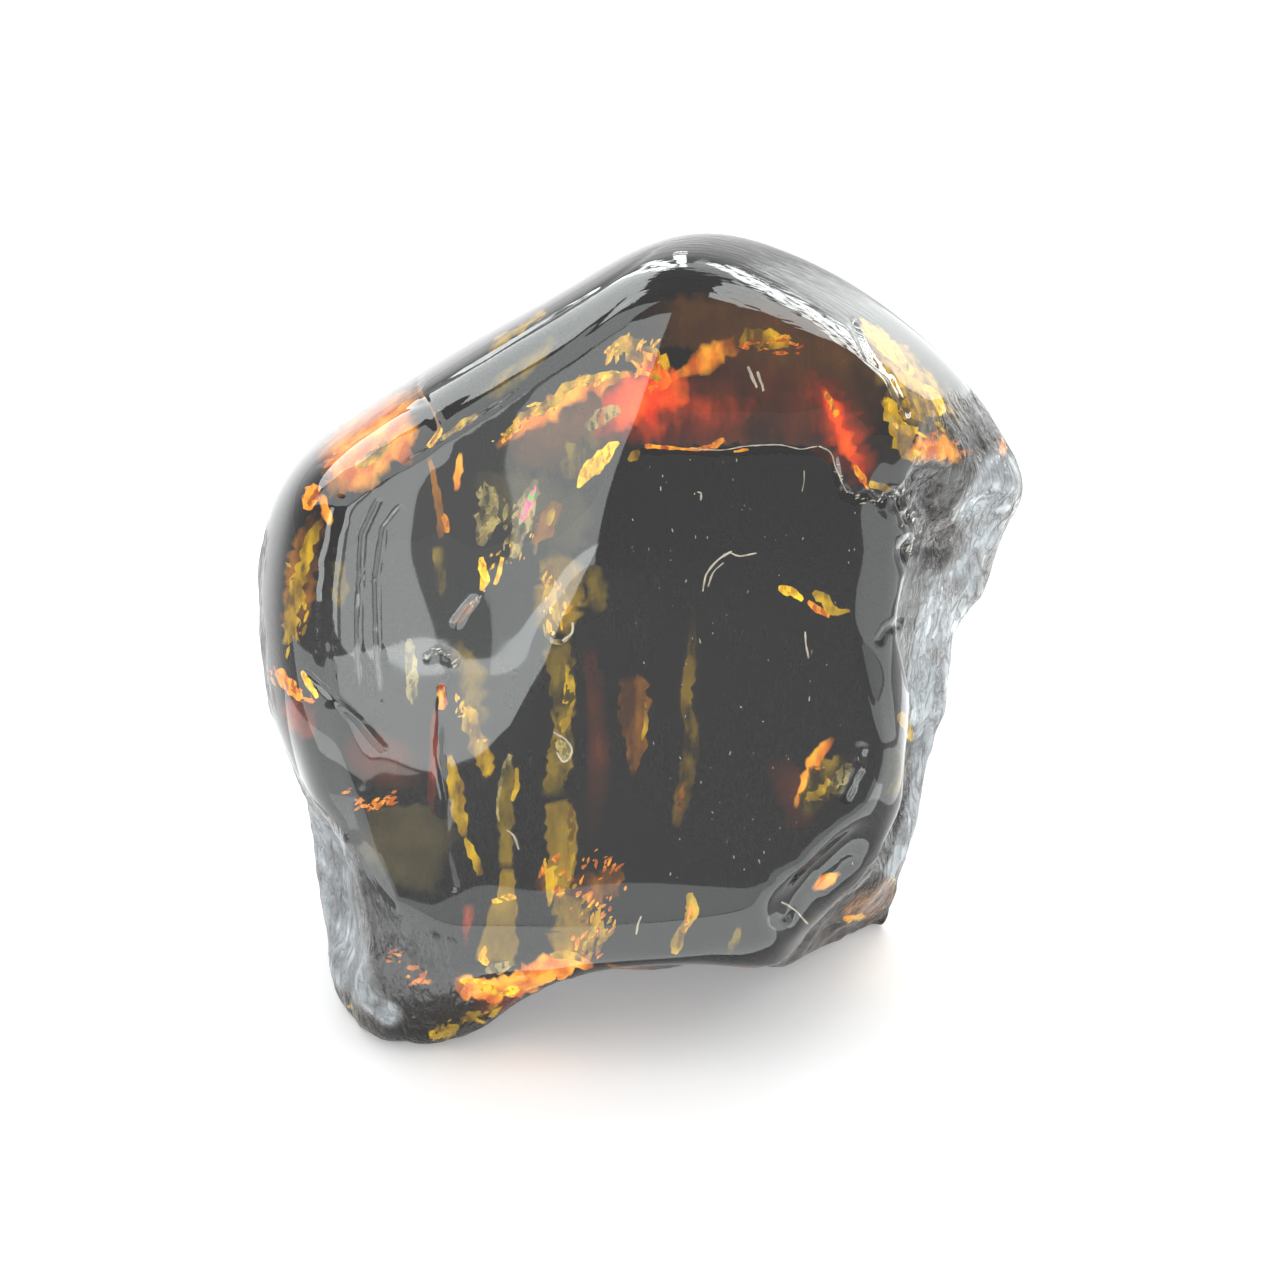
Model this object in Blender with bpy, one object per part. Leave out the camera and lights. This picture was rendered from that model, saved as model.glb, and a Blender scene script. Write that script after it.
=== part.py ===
"""A polished amber hand specimen: one solid stone that stands on its flattened foot.

The front is a polished face, bounded by a soft crease. A polished rim rolls from that crease over the top.
The right side, the lower left lobe, the back and the underside are broken, with shell-shaped scoops.
The stone is a cube's grid of quads that is wrapped onto five loops, which run round the stone from the
front face to the back face. All sizes below are millimetres, seen from the front: x to the right, y to the
back and z up. The origin is the middle of the bounding box's bottom.
"""

import math

import bmesh
import bpy
import numpy as np
from mathutils import Vector, noise

MM = 0.001
STONE_NAME = "amber_stone"

# Driving dimensions of the stone
CENTRE_X = 0.0
CENTRE_Z = 42.0
BASE_Z = 0.0
SHOULDER_Y = 15.0
TOP_SHOULDER_Y = 9.5
BACK_Y = 27.0

# The front face: how far its middle lies in front of y = 0, its backward lean and its dome
FACE_Y = -18.5
FACE_LEAN = 0.10
FACE_DOME = 0.0008
DOME_CENTRE = (8.0, 40.0)

# Left of the line through these two points the face is a second facet, turned to the left
FACET_LINE = ((1.5, 76.0), (-16.0, 27.0))
FACET_TURN = 0.13
FACET_SOFTNESS = 1.2

# The back face: it bulges most in the middle, less steeply up and down, and leans forward towards the top
BACK_LEAN = -0.13
BACK_DOME = 0.004
BACK_DOME_UP = 0.002
BACK_CENTRE_Z = 25.0

# Grid lines along each edge of the wrapped cube, and the stations where the cube's four corners land
GRID = 26
CORNER_STATIONS = (0, 7, 17, 25)

# Steps between two knots of a curve, and rounds of averaging that spread a grid evenly inside its border
CURVE_STEPS = 40
SPREAD_ROUNDS = 400

# Crease round the front face (x, z), clockwise from the lower left
FACE_EDGE = [
    (-23.9, 17.6), (-25.5, 21.2), (-27.0, 26.8), (-28.5, 31.3), (-29.6, 38.2), (-29.9, 46.1), (-29.2, 52.5),
    (-28.0, 56.7), (-23.3, 60.8), (-15.1, 66.6), (-7.6, 71.7), (-0.9, 76.2), (4.4, 77.2), (11.3, 74.7),
    (17.5, 72.0), (21.4, 68.1), (22.4, 63.8), (21.7, 60.0),
    (20.8, 56.2), (20.8, 50.4), (20.9, 45.0), (22.3, 39.1), (23.2, 34.1), (22.4, 29.1), (19.6, 24.8),
    (16.3, 22.0), (14.1, 20.0), (10.2, 17.6), (4.9, 15.9), (-3.9, 15.0), (-10.7, 14.9), (-16.6, 15.3),
    (-20.5, 16.0), (-22.6, 16.8),
]

# Outline of the stone as it shows from the front (x, y, z), in step with FACE_EDGE
GIRDLE = [
    (-30.3, -8, 0.6), (-32.1, -3, 4.8), (-33.2, 0, 14.2), (-34.8, 0, 22.9), (-37.4, 0, 31.6), (-38.4, 1, 40.8),
    (-37.2, 2, 50.0), (-33.7, 3, 56.1), (-26.4, 5, 61.3), (-17.0, 5, 67.4), (-7.8, 5, 72.8), (0.0, 5, 77.3),
    (6.7, 5, 78.8), (13.7, 5, 77.1), (21.6, 5, 73.0), (28.7, 5, 67.2), (34.7, 4, 60.5), (38.5, 4, 52.7),
    (36.2, 5, 45.8), (34.8, 5, 40.5), (32.1, 5, 35.1), (30.9, 5, 27.4), (29.6, 6, 20.0), (27.8, 8, 11.9),
    (26.2, 12, 4.4), (23.5, 13, 1.0), (19.6, 2, 5.0), (14.0, -12, 7.3), (5.9, -16.5, 9.9), (-3.9, -16.5, 9.3),
    (-10.7, -14.5, 5.6), (-15.6, -13.5, 0.9), (-20.5, -14.0, -0.8), (-27.1, -11.5, -0.6),
]

# The bevel next to the crease: how far towards the girdle it is shaped, and how far it bulges outwards and
# forwards there. It is fuller on the right of BEVEL_TURN_X, and thin where the girdle is near the crease
BEVEL_TURN_X = (5.0, 20.0)
BEVEL_REACH = (0.36, 0.30)
BEVEL_OUT = (2.4, 1.2)
BEVEL_FORWARD = (1.6, 3.0)
FULL_BEVEL_WIDTH = 16.0

# The shoulder loop and the back face's edge: the share of the girdle's size that they keep at and below the
# middle, and at the top
SHOULDER_KEEP = (0.97, 0.90)
BACK_KEEP = (0.82, 0.66)

# Stations whose underside runs back to the foot, where the hidden foot starts, and its least step to the back
FOOT_STATIONS = (0, *range(24, 34))
HIDDEN_FOOT_Y = 9.0
FOOT_STEP = 4.0

# Where polish ends and broken stone begins, seen from the front (x, z). It runs outside the stone over the top
POLISH_EDGE = [
    (-37.6, 80.0), (-37.6, 42.0), (-36.8, 31.5), (-32.8, 25.6), (-30.0, 25.0), (-27.2, 22.4), (-25.8, 19.4),
    (-24.0, 17.2), (-21.6, 15.4), (-18.2, 14.0), (-17.8, 9.9), (-15.9, 10.0), (-3.8, 9.6), (5.9, 9.8), (13.6, 9.6),
    (18.6, 14.7), (19.9, 16.8), (22.3, 20.4), (25.4, 25.7), (25.7, 30.0), (26.4, 35.7), (25.9, 39.1), (24.4, 44.8),
    (26.7, 53.0), (25.0, 59.5), (25.5, 62.7), (28.9, 64.6), (35.0, 62.6), (42.0, 62.0), (42.0, 85.0),
]
POLISH_BACK_Y = 13.0

# Chips: pieces that broke away, each leaving part of a ball's surface, as (x, y, z) and the ball's radius
CHIPS = [
    ((34.0, -18.0, 51.0), 12.5),
    ((52.0, -18.0, 36.0), 30.0),
    ((44.0, -10.0, 20.0), 21.0),
    ((30.0, -14.0, 4.0), 15.0),
    ((0.0, -8.0, -10.0), 17.5),
    ((-47.0, -14.0, 12.0), 19.5),
    ((22.0, 42.0, 56.0), 26.0),
    ((-22.0, 44.0, 48.0), 26.5),
    ((6.0, 46.0, 24.0), 23.5),
    ((-30.0, 42.0, 14.0), 24.0),
    ((36.0, 38.0, 30.0), 23.0),
]

# The long hollow in the lower right of the polished bevel: its two ends (x, z), half width and depth
HOLLOW_ENDS = ((14.8, 17.0), (20.6, 23.0))
HOLLOW_HALF_WIDTH = 2.9
HOLLOW_DEPTH = 1.5
HOLLOW_BACK_Y = -8.0

# Broken stone: wide shell-shaped scoops with smaller ones on them, as (size, depth), and their mean level
SCOOPS = ((9.0, 1.7), (4.6, 0.9))
SCOOP_LEVEL = 0.45
BREAK_FADE = 2.0


def smooth_step(value, low, high):
    share = np.clip((value - low) / (high - low), 0.0, 1.0)
    return share * share * (3 - 2 * share)


def mixed(pair, share):
    return pair[0] + (pair[1] - pair[0]) * share


def soft_positive(value, softness):
    """value where it is well above 0 and 0 where it is well below, with a rounded corner between."""
    return 0.5 * (value + np.sqrt(value * value + softness * softness))


def distance_left_of_line(x, z, line):
    (x0, z0), (x1, z1) = line
    length = math.hypot(x1 - x0, z1 - z0)
    return ((x - x0) * (z1 - z0) - (z - z0) * (x1 - x0)) / length


def along_segment(x, z, start, end):
    """How far from start to end the nearest point of a segment lies, from 0 to 1, and how far off it is."""
    (x0, z0), (x1, z1) = start, end
    share = ((x - x0) * (x1 - x0) + (z - z0) * (z1 - z0)) / ((x1 - x0) ** 2 + (z1 - z0) ** 2)
    share = np.clip(share, 0.0, 1.0)
    return share, np.hypot(x - x0 - share * (x1 - x0), z - z0 - share * (z1 - z0))


def face_depth(x, z):
    """y of the polished front face: a leaning dome with a second facet on its left."""
    dome = FACE_DOME * ((x - DOME_CENTRE[0]) ** 2 + (z - DOME_CENTRE[1]) ** 2)
    facet = FACET_TURN * soft_positive(distance_left_of_line(x, z, FACET_LINE), FACET_SOFTNESS)
    return FACE_Y + FACE_LEAN * (z - DOME_CENTRE[1]) + dome + facet


def back_depth(x, z):
    """y of the broken back face."""
    dome = BACK_DOME * (x - CENTRE_X) ** 2 + BACK_DOME_UP * (z - BACK_CENTRE_Z) ** 2
    return BACK_Y + BACK_LEAN * (z - BACK_CENTRE_Z) - dome


def catmull_rom(before, start, end, after, share):
    """Points of the smooth curve from start to end, at share of the way from 0 to 1."""
    return 0.5 * (
        2 * start
        + (end - before) * share
        + (2 * before - 5 * start + 4 * end - after) * share**2
        + (3 * start - before - 3 * end + after) * share**3
    )


def closed_curve(knots, positions):
    """Points of a closed smooth curve through knots, at positions counted in knots."""
    knots = np.asarray(knots, float)
    first = np.floor(positions).astype(int)
    around = [knots[(first + step) % len(knots)] for step in (-1, 0, 1, 2)]
    return catmull_rom(*around, (positions - first)[:, None])


def lengths_along(points):
    return np.concatenate([[0.0], np.cumsum(np.linalg.norm(np.diff(points, axis=0), axis=1))])


def open_curve(knots, steps):
    """A smooth curve through open knots, resampled to equal lengths."""
    padded = np.vstack([2 * knots[0] - knots[1], knots, 2 * knots[-1] - knots[-2]])
    share = np.linspace(0, 1, CURVE_STEPS, endpoint=False)[:, None]
    stretches = [catmull_rom(*padded[i : i + 4], share) for i in range(len(knots) - 1)]
    dense = np.vstack([*stretches, knots[-1:]])
    length = lengths_along(dense)
    wanted = np.linspace(0, length[-1], steps + 1)
    return np.column_stack([np.interp(wanted, length, dense[:, axis]) for axis in range(3)])


def station_positions():
    """Where each of the 4 * GRID columns sits, in stations, evenly spaced between the cube's corners."""
    corners = [*CORNER_STATIONS, len(GIRDLE)]
    positions = []
    for start, end in zip(corners[:-1], corners[1:]):
        fine = np.linspace(start, end, CURVE_STEPS * (end - start) + 1)
        length = lengths_along(closed_curve(GIRDLE, fine))
        wanted = np.linspace(0, length[-1], GRID + 1)[:-1]
        positions.append(np.interp(wanted, length, fine))
    return np.concatenate(positions)


def towards_centre(x, z, keep_x, keep_z):
    return CENTRE_X + (x - CENTRE_X) * keep_x, CENTRE_Z + (z - CENTRE_Z) * keep_z


def back_loops():
    """The shoulder loop and the back face's edge, worked out from the girdle, at its stations."""
    top = max(z for _, _, z in GIRDLE)
    shoulder, back = [], []
    for index, (x, y, z) in enumerate(GIRDLE):
        rise = max(z - CENTRE_Z, 0.0) / (top - CENTRE_Z)
        keep = mixed(BACK_KEEP, rise)
        back_x, back_z = towards_centre(x, z, keep, keep if rise > 0 else 1.0)
        side_x, side_z = towards_centre(x, z, mixed(SHOULDER_KEEP, rise), mixed(SHOULDER_KEEP, rise))
        side_y = mixed((SHOULDER_Y, TOP_SHOULDER_Y), rise)
        if index in FOOT_STATIONS:
            side_y, side_z, back_z = max(HIDDEN_FOOT_Y, y + FOOT_STEP), BASE_Z, BASE_Z
        shoulder.append((side_x, side_y, side_z))
        back.append((back_x, back_depth(back_x, back_z), back_z))
    return shoulder, back


def bevel_point(inner, outer):
    """The point that shapes the bevel between the crease at inner and the girdle at outer."""
    outwards = np.array([outer[0] - CENTRE_X, 0.0, outer[2] - CENTRE_Z])
    outwards /= np.linalg.norm(outwards)
    forwards = np.array([0.0, -1.0, 0.0])
    on_right = smooth_step(inner[0], *BEVEL_TURN_X)
    fullness = min(np.linalg.norm(outer - inner) / FULL_BEVEL_WIDTH, 1.0)
    bulge = mixed(BEVEL_OUT, on_right) * outwards + mixed(BEVEL_FORWARD, on_right) * forwards
    return inner + mixed(BEVEL_REACH, on_right) * (outer - inner) + bulge * fullness


def side_profiles():
    """For each column, the points of its profile from the face's crease over the side to the back face."""
    positions = station_positions()
    edge = closed_curve(FACE_EDGE, positions)
    girdle = closed_curve(GIRDLE, positions)
    shoulder, back = (closed_curve(loop, positions) for loop in back_loops())
    profiles = []
    for (x, z), outer, behind, last in zip(edge, girdle, shoulder, back):
        inner = np.array([x, face_depth(x, z), z])
        knots = np.array([inner, bevel_point(inner, outer), outer, behind, last])
        profiles.append(open_curve(knots, GRID))
    return np.array(profiles)


def filled_grid(border):
    """Points of a square grid inside a closed border of 4 * GRID points, spread evenly. Axis 0 follows side 0."""
    grid = np.zeros((GRID + 1, GRID + 1, border.shape[1]))
    left, top, right, bottom = border.reshape(4, GRID, -1)
    grid[:-1, 0] = left
    grid[-1, :-1] = top
    grid[1:, -1] = right[::-1]
    grid[0, 1:] = bottom[::-1]
    share = np.linspace(0, 1, GRID + 1)[:, None, None]
    across = np.linspace(0, 1, GRID + 1)[None, :, None]
    grid[1:-1, 1:-1] = (
        0.5 * ((1 - share) * grid[:1] + share * grid[-1:] + (1 - across) * grid[:, :1] + across * grid[:, -1:])
    )[1:-1, 1:-1]
    for _ in range(SPREAD_ROUNDS):
        grid[1:-1, 1:-1] = 0.25 * (grid[:-2, 1:-1] + grid[2:, 1:-1] + grid[1:-1, :-2] + grid[1:-1, 2:])
    return grid


def polish_distance(x, z):
    """How far inside the polished area a point lies as seen from the front. It is below 0 on broken stone."""
    nearest = np.full(x.shape, np.inf)
    inside = np.zeros(x.shape, bool)
    for (x0, z0), (x1, z1) in zip(POLISH_EDGE, POLISH_EDGE[1:] + POLISH_EDGE[:1]):
        nearest = np.minimum(nearest, along_segment(x, z, (x0, z0), (x1, z1))[1])
        if z0 != z1:
            inside ^= ((z0 > z) != (z1 > z)) & (x < (x1 - x0) * (z - z0) / (z1 - z0) + x0)
    return np.where(inside, nearest, -nearest)


def broken_share(points):
    """0 on polish and 1 on broken stone, for points (x, y, z)."""
    from_front = polish_distance(points[:, 0], points[:, 2])
    from_back = POLISH_BACK_Y - points[:, 1]
    return 1 - smooth_step(np.minimum(from_front, from_back), -BREAK_FADE, 0.0)


def scoop_height(point):
    """How far the broken surface stands out at a point: low in the middle of each scoop, high at its edges."""
    height = 0.0
    for size, depth in SCOOPS:
        nearest = noise.voronoi(Vector(point) / size)[0][0]
        height += depth * (min(nearest, 1.0) ** 2 - SCOOP_LEVEL)
    return height


def chipped(place):
    """place, moved onto the ball of each chip that reaches it."""
    for centre, radius in CHIPS:
        away = place - Vector(centre)
        if away.length < radius:
            place = Vector(centre) + away.normalized() * radius
    return place


def hollow_depth(place):
    """Depth of the long hollow at a point of the front."""
    if place.y > HOLLOW_BACK_Y:
        return 0.0
    off = along_segment(place.x, place.z, *HOLLOW_ENDS)[1]
    return HOLLOW_DEPTH * max(1 - (off / HOLLOW_HALF_WIDTH) ** 2, 0.0)


def wrapped_cube():
    """A cube's grid as a bmesh, with each vertex moved to its place on the stone."""
    mesh = bmesh.new()
    bmesh.ops.create_cube(mesh, size=2.0)
    bmesh.ops.subdivide_edges(mesh, edges=mesh.edges[:], cuts=GRID - 1, use_grid_fill=True)
    profiles = side_profiles()
    front = filled_grid(profiles[:, 0])
    front[..., 1] = face_depth(front[..., 0], front[..., 2])
    back = filled_grid(profiles[:, -1])
    back[..., 1] = back_depth(back[..., 0], back[..., 2])
    for vertex in mesh.verts:
        across, deep, up = (round((value + 1) * 0.5 * GRID) for value in vertex.co)
        if deep == 0:
            place = front[up, across]
        elif deep == GRID:
            place = back[up, across]
        elif across == 0:
            place = profiles[up, deep]
        elif up == GRID:
            place = profiles[GRID + across, deep]
        elif across == GRID:
            place = profiles[3 * GRID - up, deep]
        else:
            place = profiles[(4 * GRID - across) % (4 * GRID), deep]
        vertex.co = place
    return mesh


def break_surface(mesh):
    """Chips and scoops the broken sides, presses in the hollow, then flattens the foot."""
    points = np.array([vertex.co for vertex in mesh.verts])
    share = broken_share(points)
    for vertex, amount in zip(mesh.verts, share):
        vertex.co = vertex.co.lerp(chipped(vertex.co), amount)
    mesh.normal_update()
    for vertex, amount in zip(mesh.verts, share):
        height = amount * scoop_height(vertex.co) if amount > 0 else 0.0
        vertex.co = vertex.co + vertex.normal * (height - hollow_depth(vertex.co))
    for vertex in mesh.verts:
        vertex.co.z = max(vertex.co.z, BASE_Z)


def centre_on_base(mesh):
    """Moves the middle of the bounding box's bottom to the origin, and turns millimetres into metres."""
    points = np.array([vertex.co for vertex in mesh.verts])
    middle = 0.5 * (points.min(axis=0) + points.max(axis=0))
    shift = Vector((middle[0], middle[1], BASE_Z))
    for vertex in mesh.verts:
        vertex.co = (vertex.co - shift) * MM


def amber_material():
    material = bpy.data.materials.new("amber")
    material.use_nodes = True
    shader = material.node_tree.nodes["Principled BSDF"]
    shader.inputs["Base Color"].default_value = (0.42, 0.13, 0.02, 1.0)
    shader.inputs["Roughness"].default_value = 0.05
    shader.inputs["Metallic"].default_value = 0.0
    shader.inputs["IOR"].default_value = 1.54
    return material


def make_stone(collection):
    mesh = wrapped_cube()
    break_surface(mesh)
    centre_on_base(mesh)
    bmesh.ops.recalc_face_normals(mesh, faces=mesh.faces[:])
    data = bpy.data.meshes.new(STONE_NAME)
    mesh.to_mesh(data)
    mesh.free()
    data.shade_smooth()
    data.materials.append(amber_material())
    collection.objects.link(bpy.data.objects.new(STONE_NAME, data))


def main():
    for old in list(bpy.data.objects):
        bpy.data.objects.remove(old)
    collection = bpy.data.collections.new("polished_amber_stone")
    bpy.context.scene.collection.children.link(collection)
    make_stone(collection)


main()
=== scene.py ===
"""The looks of a polished amber stone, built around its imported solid.

The stone's body is one clear, deeply coloured solid with a fine surface: polish in front and over the rim,
and broken stone on the sides, the back and the underside. The cracks, flakes and veils inside it are thin
closed leaves. Each one is laid behind the front surface along the bent line of sight from the camera, so it
shows where the photograph shows it and lies at a real depth. Stone sizes are millimetres and image places
are pixels of the 1280-pixel photograph; both are turned into metres as the meshes are made.
"""

import itertools
import math
from collections import namedtuple

import bmesh
import bpy
import numpy as np
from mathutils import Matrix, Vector, noise
from mathutils.bvhtree import BVHTree


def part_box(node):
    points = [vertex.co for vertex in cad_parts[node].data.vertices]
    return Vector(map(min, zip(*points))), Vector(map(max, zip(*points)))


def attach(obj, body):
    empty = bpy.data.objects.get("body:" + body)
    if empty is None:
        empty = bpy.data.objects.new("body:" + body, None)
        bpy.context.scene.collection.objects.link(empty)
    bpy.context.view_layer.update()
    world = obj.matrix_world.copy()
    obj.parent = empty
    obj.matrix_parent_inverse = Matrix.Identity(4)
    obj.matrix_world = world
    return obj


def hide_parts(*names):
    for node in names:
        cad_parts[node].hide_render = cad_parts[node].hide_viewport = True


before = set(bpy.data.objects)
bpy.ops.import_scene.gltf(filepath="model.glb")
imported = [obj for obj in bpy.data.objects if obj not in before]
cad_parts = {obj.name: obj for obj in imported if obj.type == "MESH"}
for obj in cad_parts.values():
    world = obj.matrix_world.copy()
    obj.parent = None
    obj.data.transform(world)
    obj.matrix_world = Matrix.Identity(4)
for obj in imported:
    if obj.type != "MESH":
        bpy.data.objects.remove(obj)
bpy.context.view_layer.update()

MM = 0.001
STONE = "amber_stone"
BODY = "root"

# The photograph's camera, which looks down on the stone a little. Lengths are in millimetres
IMAGE = 1280
CAMERA_ELEVATION = math.radians(20.0)
CAMERA_DISTANCE = 450.0
CAMERA_TARGET = Vector((0.0, -4.4, 38.0))
IMAGE_WIDTH = 128.0
SENSOR = 36.0
CLIP_START = 0.01
RIGHT = Vector((1.0, 0.0, 0.0))
UP = Vector((0.0, math.sin(CAMERA_ELEVATION), math.cos(CAMERA_ELEVATION)))
FORWARD = Vector((0.0, math.cos(CAMERA_ELEVATION), -math.sin(CAMERA_ELEVATION)))
TOWARDS_CAMERA = -np.array(FORWARD)
EYE = CAMERA_TARGET - FORWARD * CAMERA_DISTANCE

# Amber bends light, and swallows blue first, then green, then red. Absorption is per metre of path
AMBER_IOR = 1.54
ABSORB_COLOUR = (0.86, 0.78, 0.30, 1.0)
ABSORB_DENSITY = 1000.0
AMBER_TINT = (0.16, 0.125, 0.10)

# The fine surface. Faces in view within this margin of a pressed mark, in pixels, are cut finer
WELD = 0.00001
JOIN_ANGLE = math.radians(60.0)
SMOOTH_LEVELS = 2
REFINE_CUTS = 1
REFINE_MARGIN = 14.0
REFINE_FACING = 0.1

# Where polish ends and broken stone begins, seen from the front (x, z). It runs outside the stone on top
POLISH_EDGE = [
    (-37.6, 80.0), (-36.6, 62.0), (-36.7, 42.0), (-36.2, 31.5), (-32.8, 25.6), (-30.0, 25.0), (-27.2, 22.4),
    (-25.8, 19.4), (-24.0, 17.2), (-21.6, 15.4), (-18.2, 14.0), (-17.8, 9.9), (-15.9, 10.0), (-3.8, 9.6),
    (5.9, 9.8), (13.6, 9.6), (18.6, 14.7), (19.9, 16.8), (22.3, 20.4), (25.4, 25.7), (25.7, 30.0),
    (26.4, 35.7), (25.9, 39.1), (24.4, 44.8), (26.7, 53.0), (25.0, 59.5), (25.5, 62.7), (28.9, 64.6),
    (35.0, 62.6), (42.0, 62.0), (42.0, 85.0),
]
POLISH_BACK_Y = 8.6

# Where broken stone in view has a pale, satin skin, which is partly weathering and partly a painted sheen of
# reflected light, and where it is dark glass: half width and line in pixels, and the shares of the half width
# between which each area ends
PALE_SKIN_AND_SHEEN = [
    (26, [(1004, 475), (990, 500), (972, 535), (955, 580), (938, 630), (930, 670), (925, 705)]),
    (12, [(925, 730), (922, 780), (908, 840), (896, 872)]),
    (24, [(322, 815), (332, 870), (338, 930), (349, 970)]),
    (13, [(349, 970), (365, 998), (388, 1014)]),
]
PALE_END = (0.7, 1.3)
DARK_SKIN = [
    (27, [(900, 500), (925, 516), (938, 540), (915, 554)]),
]
DARK_END = (0.7, 1.2)

# How pale the skin is elsewhere in view, and on the hidden sides, where it comes in patches: size of each
# patchwork, and the noise values between which it grows
FRONT_SKIN = 0.04
HIDDEN_SKIN = 0.95
HIDDEN_PATCHES = ((17.0, -0.5, 0.5), (5.0, -1.0, 0.4))

# How softly polish turns to broken stone, and how far and at what size its edge wanders
EDGE_FADE = 1.0
EDGE_WANDER = (1.0, 5.0)

# Fine relief of broken stone, as (size, depth): shells, upright ridges, and more shells in the glassy pocket.
# A shell's level lies between its low middle and its edges. All relief ends at the foot
SHELLS = ((4.6, 0.50), (1.8, 0.15))
SHELL_LEVEL = 0.4
RIDGES = (1.5, 0.12)
RIDGE_STRETCH = 0.22
POCKET = (1.3, 0.55)
FOOT_HEIGHT = 0.4

# Faces that turn from side-on to this much towards the camera count as more and more in view
FACING_FADE = 0.3

# Offsets that keep noises of the same size apart
BEHIND_SEED = 5.0
WAVE_SEED = 9.0
MARK_SEED = 3.0
PATCH_SEED = 2.0

# The stretch of the rim that shows brushed streaks, as the x between which they fade in and out, and how far
# up its faces turn
RIM_STREAKS = ((-3.0, 1.0), (21.0, 25.0))
RIM_RISE = (0.35, 0.6)

# Slow waves left by hand polishing, as (size, depth)
POLISH_WAVES = ((11.0, 0.05), (5.0, 0.012))

# Marks pressed into the front surface: depth, half width in pixels, and the line they follow
PRESSED = [
    # Polishing lines along the rim
    (0.08, 4, [(401, 466), (450, 436), (500, 405), (560, 357), (600, 322), (628, 298)]),
    (0.07, 4, [(428, 391), (480, 362), (540, 325), (600, 288), (655, 249)]),
    (0.08, 5, [(320, 464), (360, 435), (401, 410), (425, 402)]),
    # Fine steps down the left side
    (0.05, 4, [(401, 509), (385, 528), (377, 582), (379, 640), (384, 700)]),
    (0.05, 4, [(379, 501), (363, 536), (361, 595), (359, 638), (366, 720)]),
    (0.10, 10, [(340, 500), (326, 560), (322, 640), (330, 700)]),
    (0.04, 6, [(456, 624), (464, 612), (474, 600)]),
    (0.04, 6, [(430, 658), (440, 652), (452, 660)]),
    (0.12, 5, [(441, 690), (438, 755), (447, 800), (446, 850), (454, 888)]),
    (0.14, 4, [(306, 673), (340, 705), (360, 722), (383, 749)]),
    # The crack along the ledge and the step over the rim
    (0.10, 4, [(643, 447), (708, 448), (781, 445), (818, 447)]),
    (0.12, 4, [(818, 447), (834, 458), (838, 478), (848, 492)]),
    (0.22, 7, [(845, 490), (856, 498), (868, 492), (880, 503), (893, 491), (908, 496), (930, 482)]),
    (0.14, 5, [(419, 375), (418, 391), (430, 407), (439, 432), (427, 448)]),
    (0.20, 6, [(853, 322), (862, 345), (869, 359), (890, 378), (907, 413)]),
    # The pocket and the hook on the right
    (1.0, 24, [(908, 505), (928, 518), (938, 540), (915, 552)]),
    (0.25, 7, [(880, 640), (886, 630), (900, 624)]),
    # Hollows in the lower right bevel
    (0.16, 10, [(787, 915), (797, 893), (812, 872)]),
    (0.20, 12, [(822, 888), (838, 872), (852, 862)]),
    (0.25, 9, [(845, 795), (858, 770), (862, 748)]),
]
MARK_WANDER = (0.35, 1.5)

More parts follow.
